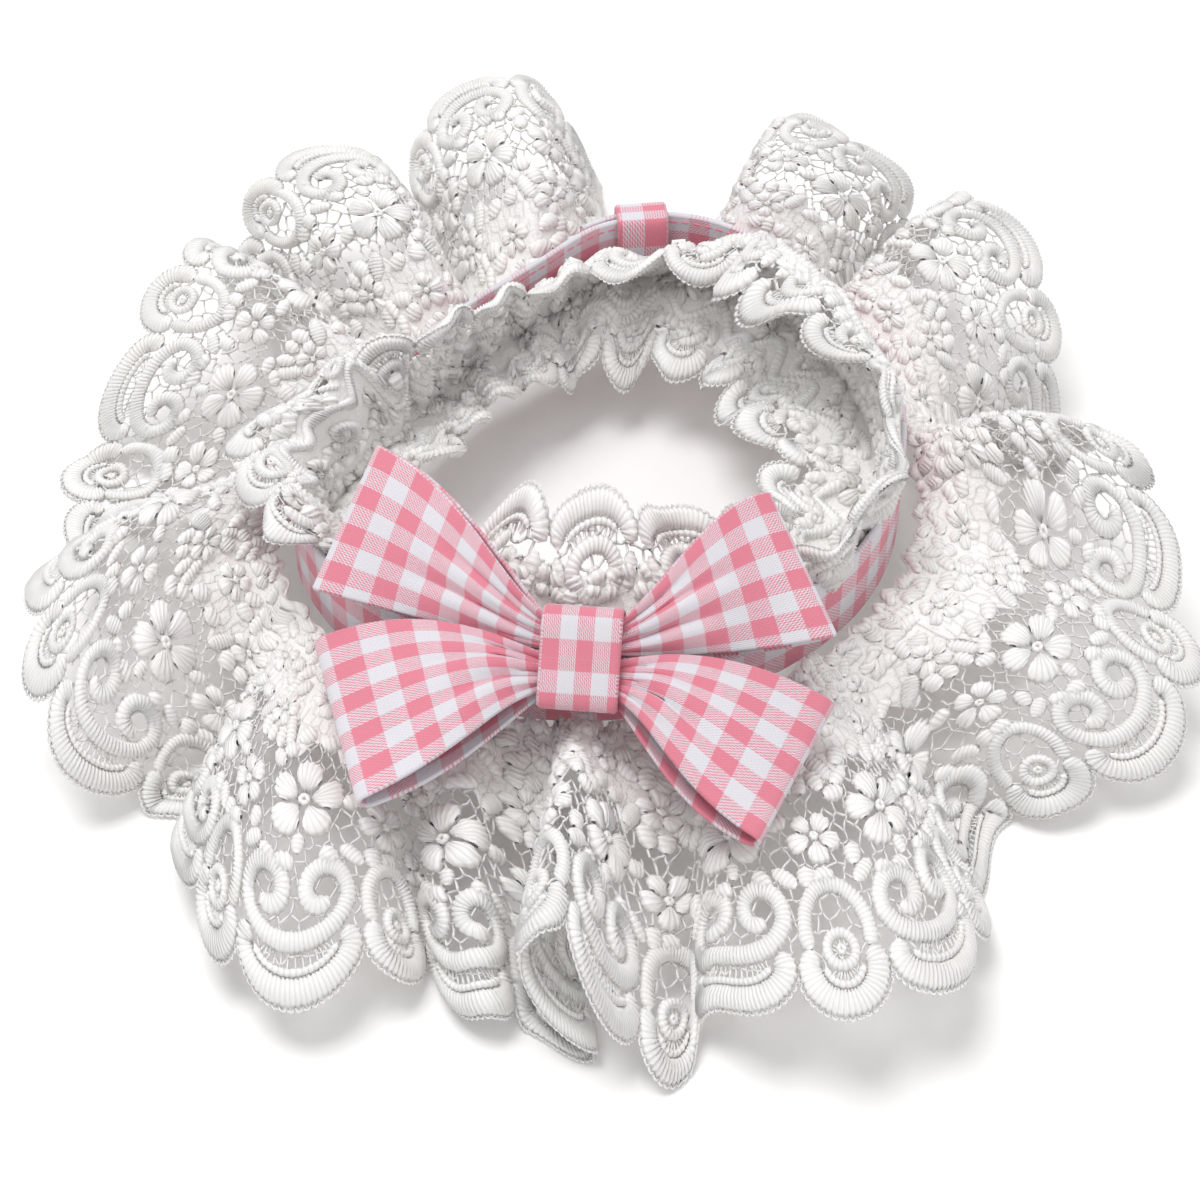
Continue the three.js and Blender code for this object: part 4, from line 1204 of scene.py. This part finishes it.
def frill_lobe(index, edge, width):
    """One lobe of the frill's edge: a rim with loops, a thin cord, a ladder, and a ring with spokes
    or a curl inside."""
    start = (index - 0.5) * width
    middle = index * width
    size = width / LOBE_WIDTHS[-1]
    heart = LOBE_NOTCH + 3.4 * size
    outline = scallop(start, width, LOBE_REACH, LOBE_NOTCH)
    rim = inset(outline, LOBE_RIM / 2)
    rim = np.vstack([rim[0] + [0.3, 1.2], rim, rim[-1] + [-0.3, 1.2]])
    cord = inset(scallop(start, width, LOBE_REACH, LOBE_NOTCH, (0.08, 0.92)), LOBE_RIM + 0.5)
    shared = {"section": ROUND_SECTION, "seed": 500 + index}
    parts = [
        satin(rim, LOBE_RIM, 1.2, ridge=0.24, **shared),
        satin(cord, 1.1, 0.9, ridge=0.3, step=0.5, **shared),
        rim_loops(scallop(start, width, LOBE_REACH, LOBE_NOTCH, (0.03, 0.97)), 1.2, 0.45),
        ladder(
            scallop(start, width, LOBE_REACH, LOBE_NOTCH, (0.2, 0.8)), LOBE_RIM + 0.7, LOBE_RIM + 2.4, 1.3
        ),
    ]
    if index % 3 == 1:
        side = 1 if index % 2 else -1
        curl = spiral(middle, heart, 3.2 * size, 1.1, -100, 400, side)
        parts.append(satin(curl, 2.1 * size, 1.3, ridge=0.2, **shared))
    else:
        ring = arc(middle, heart, 2.9 * size, 2.8 * size, 0, 350)
        parts.append(satin(ring, 2.0 * size, 1.3, closed=True, ridge=0.2, **shared))
        parts.append(satin(arc(middle, heart, 0.6, 0.6, 0, 330, 16), 0.9, 1.1, closed=True, step=0.5))
        parts.append(spokes(middle, heart, 20, 2.3 * size, 0.24))
    for side in (-1, 1):
        turn = 90 - 14 * side
        parts.append(
            leaf(start + 1.7 * side, LOBE_NOTCH + 2.4, turn, 4.4 * size, 2.7, 1.3, step=0.6, **shared)
        )

    def keep(x, y):
        share = 2 * (x - start) / width - 1
        rim_y = LOBE_NOTCH - LOBE_REACH * np.sqrt(np.maximum(1 - share**2, 0)) + LOBE_RIM + 0.6
        return (y > rim_y) & (np.hypot(x - middle, y - heart) > 2.6 * size)

    points, triangles, places = net(
        width, round(width / 2.7), VINE_Y[edge] - 1, 17 + index, lambda x, y: keep(x + start, y)
    )
    parts.append((points + [start, 0, 0], triangles, places))
    return joined(parts)


def frill_vine(length, count, y):
    """A satin cord that waves along the frill above its lobes, one wave a lobe."""
    x = np.linspace(0, length, 40 * count)
    wave = 2 * np.pi * x / length * count
    path = np.stack([x, y + 1.9 * np.sin(wave) + 0.6 * np.sin(0.5 * wave)], -1)
    return satin(path, VINE_WIDTH, 1.7, ridge=0.2, section=ROUND_SECTION, step=0.42, seed=77)


def frill_stretch(place):
    """Millimetres of the frill for each degree round and for each unit across, at an angle and a
    place across."""
    ends = frill_point(place[0] + np.array([-1, 1, 0, 0]), place[1] + np.array([0, 0, -0.03, 0.03]))
    return np.array([
        max(np.linalg.norm(ends[1] - ends[0]) / 2, 0.2), max(np.linalg.norm(ends[3] - ends[2]) / 0.06, 15),
    ])


def on_frill(mesh, place):
    """A flat motif in its own millimetres, set at an angle and a place across: its sizes are divided
    by how far the frill stretches there."""
    points, triangles, places = mesh
    return points / [*frill_stretch(place), 1] + [*place, 0], triangles, places


def frill_motifs(edge):
    """Flowers and curls in turn on a line between the gathers and the waving cord, and knotted pads
    in jittered rows that crowd the rest of this half of the frill."""
    rng = np.random.default_rng(900 + edge)
    shared = {"section": ROUND_SECTION, "seed": 60}
    deg, track = frill_track(MOTIF_ACROSS * edge)
    count = 2 * round(track[-1] / MOTIF_PITCH / 2)
    parts, centres = [], []
    for k in range(count):
        at = np.interp((k + 0.5 + rng.uniform(-0.1, 0.1)) * track[-1] / count, track, deg)
        centres.append([at, edge * (MOTIF_ACROSS + rng.uniform(-0.03, 0.03))])
        turn = rng.uniform(0, 360)
        if k % 2:
            motif = joined(flower(0, 0, MOTIF_RADIUS, 5, turn, 1.9, **shared))
        else:
            curl = spiral(0, 0, MOTIF_RADIUS - 1.2, 1.2, turn, 420, 1 - (k % 4))
            motif = satin(curl, 2.6, 1.8, ridge=0.2, step=0.42, **shared)
        parts.append(on_frill(motif, centres[-1]))
    centres = np.array(centres)
    full_mm = PAD_ROOM[edge]
    for row, across in enumerate(np.arange(0.06, 0.7, PAD_PITCH / full_mm) * edge):
        deg, track = frill_track(across)
        pads = round(track[-1] / PAD_PITCH)
        for along in (np.arange(pads) + 0.5 * (row % 2)) * track[-1] / pads:
            at = np.interp(along + rng.uniform(-0.6, 0.6), track, deg)
            place = np.array([at, across + rng.uniform(-0.6, 0.6) / full_mm])
            angle, half, width, chance = rng.uniform([0, 1.5, 2.9, 0], [math.pi, 2.2, 3.9, full_mm])
            stretch = frill_stretch(place)
            away = (centres - place) * stretch
            from_vine = abs(1 - abs(place[1]) - VINE_Y[edge] / FRILL_DEPTHS[edge]) * stretch[1]
            if from_vine < 2.4 or chance > stretch[1] or np.hypot(*away.T).min() < MOTIF_RADIUS + 0.8:
                continue
            tip = half * np.array([math.cos(angle), math.sin(angle)])
            pad = satin([-tip, tip], width, 1.7, ends="petal", ridge=0.14, step=0.62, **shared)
            parts.append(on_frill(pad, place))
    return joined(parts)


class COLLAR_OT_band(bpy.types.Operator):
    """The gingham neck band, its keeper and its topstitching"""

    bl_idname = "collar.band"
    bl_label = "Band and keeper"

    def execute(self, context):
        turns = np.linspace(BAND_START, BAND_END, 300)
        rise = np.array([0, 0.012, 0.04, 0.1, 0.3, 0.5, 0.7, 0.9, 0.96, 0.988, 1])
        steps = np.linalg.norm(np.diff(band_point(turns, 0.5 + 0 * turns), axis=0), axis=1)
        track = np.concatenate([[0], np.cumsum(steps)])
        length = track[-1]
        band = shell(
            band_point, turns, rise, 1.3, track, BAND_HEIGHT,
            steps=(0.5, 0.02), a_range=(BAND_START + 0.6, BAND_END - 0.6),
        )
        piece = put("neck_band_gingham", [(band, "gingham")], ["neck_band"])

        deg = BAND_START
        centre_r, height = ring_curve(np.array(deg))
        before, after = ring_curve(np.array([deg - 1, deg + 1]))[:, 0]
        along = unit(polar(deg + 1, after, 0.0) - polar(deg - 1, before, 0.0))
        up = np.array([0, 0, 1.0])
        out = np.cross(along, up)
        depth = BAND_WALL + BAND_OVERLAP_SHIFT + 2 * LAYER_GAP + KEEPER_WALL + KEEPER_ROOM_OUT
        tall = BAND_HEIGHT + 2 * LAYER_GAP + KEEPER_WALL + KEEPER_ROOM_UP
        centre = polar(deg, centre_r + BAND_OVERLAP_SHIFT / 2, height)
        keeper = shell(
            strap_point(centre, along, up, out, KEEPER_WIDTH, tall, depth, 9), np.arange(96) / 96,
            np.linspace(0, 1, 9), 1.0, 2 * (tall + depth), KEEPER_WIDTH, closed=True, steps=(0.004, 0.05),
        )
        piece = put("band_keeper_gingham", [(keeper, "gingham")], ["band_keeper"])

        stitches = []
        for row in (STITCH_INSET, BAND_HEIGHT - STITCH_INSET):
            for x in np.arange(3, length - 3, STITCH_PITCH):
                line = [[x, row], [x + STITCH_LENGTH, row + 0.05]]
                stitches.append(satin(line, 0.5, 0.28, step=0.6, ridge=0, base=0.62))

        def surface(x, y):
            return with_normals(band_point, np.interp(x, track, turns), y / BAND_HEIGHT, 0.5, 0.02)

        put("band_topstitch", [(laid(joined(stitches), surface), "thread")])
        return {"FINISHED"}


class COLLAR_OT_bow(bpy.types.Operator):
    """The four loops of the bow and its knot"""

    bl_idname = "collar.bow"
    bl_label = "Bow"

    def execute(self, context):
        for loop in BOW_LOOPS:
            point = loop_point(loop)
            turns = np.linspace(0, 1, 121)
            across = np.concatenate([[0, 0.012, 0.03], np.linspace(0.06, 0.94, 30), [0.97, 0.988, 1]])
            centre_line = point(turns, 0.5 + 0 * turns)
            length = np.linalg.norm(np.diff(centre_line, axis=0), axis=1).sum()
            corners = np.array(loop["corners"], float)
            width = np.linalg.norm(corners[1] - corners[2])
            finer = 1 / BOW_CHECK_SHARE
            mesh = shell(
                point, turns, across, 0.9, length * finer, width * finer, steps=(0.004, 0.02),
                a_range=(0.004, 0.996),
            )
            piece = put(loop["name"] + "_gingham", [(mesh, "gingham")], [loop["name"]])
        strap = strap_point(
            KNOT_CENTRE, BOW_ACROSS, BOW_UP, BOW_FRONT, KNOT_WIDTH, KNOT_HEIGHT - KNOT_WALL,
            KNOT_DEPTH - KNOT_WALL, 6,
        )
        around = 2 * (KNOT_HEIGHT + KNOT_DEPTH)
        knot = shell(
            strap, np.arange(120) / 120, np.linspace(0, 1, 25), 1.1,
            around * KNOT_ROUND_SHARE / KNOT_CHECK_SHARE,
            KNOT_WIDTH / KNOT_CHECK_SHARE, closed=True, steps=(0.004, 0.02),
        )
        piece = put("bow_knot_gingham", [(knot, "gingham")], ["bow_knot"])
        return {"FINISHED"}


# The camera in the part's own unshifted millimetres: its place, and the way it looks.
CAMERA_PLACE = np.array([39.09957, -372.00757, 385.22235])
CAMERA_ELEVATION, CAMERA_AZIMUTH = 47.36893, 5.48011
CAMERA_LENS = 78.0


class COLLAR_OT_stage(bpy.types.Operator):
    """The floor, the studio lights and the camera"""

    bl_idname = "collar.stage"
    bl_label = "Stage"

    def execute(self, context):
        scene = context.scene
        bpy.ops.mesh.primitive_plane_add(size=6)
        floor = context.object
        floor.name = "floor"
        floor.data.materials.append(matt_board("matt_painted_board", linear("#FDFCFB")))

        world = bpy.data.worlds.new("studio")
        scene.world = world
        world.use_nodes = True
        background = world.node_tree.nodes["Background"]
        background.inputs["Color"].default_value = (1, 1, 1, 1)
        background.inputs["Strength"].default_value = scene.collar.sky

        lights = {
            "key": ((-0.28, 0.08, 1.2), 0.7, scene.collar.key_power),
            "fill": ((0.7, -0.6, 0.9), 1.0, scene.collar.key_power * 0.12),
        }
        for name, (place, size, power) in lights.items():
            data = bpy.data.lights.new(name, "AREA")
            data.shape, data.size, data.energy = "DISK", size, power
            made = bpy.data.objects.new(name, data)
            made.location = place
            made.rotation_euler = (-Vector(place)).to_track_quat("-Z", "Y").to_euler()
            context.collection.objects.link(made)

        e, a = math.radians(CAMERA_ELEVATION), math.radians(CAMERA_AZIMUTH)
        look = Vector((-math.sin(a) * math.cos(e), math.cos(a) * math.cos(e), -math.sin(e)))
        right = Vector((math.cos(a), math.sin(a), 0))
        data = bpy.data.cameras.new("camera")
        data.lens, data.sensor_width = CAMERA_LENS, 36
        camera = bpy.data.objects.new("camera", data)
        turn = Matrix((right, right.cross(look), -look)).transposed().to_4x4()
        camera.matrix_world = Matrix.Translation(Vector((CAMERA_PLACE + SHIFT) * MM)) @ turn
        context.collection.objects.link(camera)
        scene.camera = camera
        scene.view_settings.view_transform = "Standard"
        return {"FINISHED"}


class COLLAR_PT_panel(bpy.types.Panel):
    """Lists the collar's pieces and settings"""

    bl_idname = "COLLAR_PT_panel"
    bl_label = "Lace collar"
    bl_space_type = "VIEW_3D"
    bl_region_type = "UI"
    bl_category = "Collar"

    def draw(self, context):
        for name in ("white_yarn", "pink_yarn", "check", "key_power", "sky"):
            self.layout.prop(context.scene.collar, name)
        for operator in OPERATORS:
            self.layout.operator(operator.bl_idname)


OPERATORS = (COLLAR_OT_flounce, COLLAR_OT_frill, COLLAR_OT_band, COLLAR_OT_bow, COLLAR_OT_stage)
CLASSES = (CollarSettings, *OPERATORS, COLLAR_PT_panel)


def register():
    for made in CLASSES:
        bpy.utils.register_class(made)
    bpy.types.Scene.collar = bpy.props.PointerProperty(type=CollarSettings)


def unregister():
    del bpy.types.Scene.collar
    for made in reversed(CLASSES):
        bpy.utils.unregister_class(made)


def main():
    """Builds every piece in order."""
    register()
    bpy.ops.collar.flounce()
    bpy.ops.collar.frill()
    bpy.ops.collar.band()
    bpy.ops.collar.bow()
    bpy.ops.collar.stage()
    bpy.context.view_layer.update()


if __name__ == "__main__":
    main()
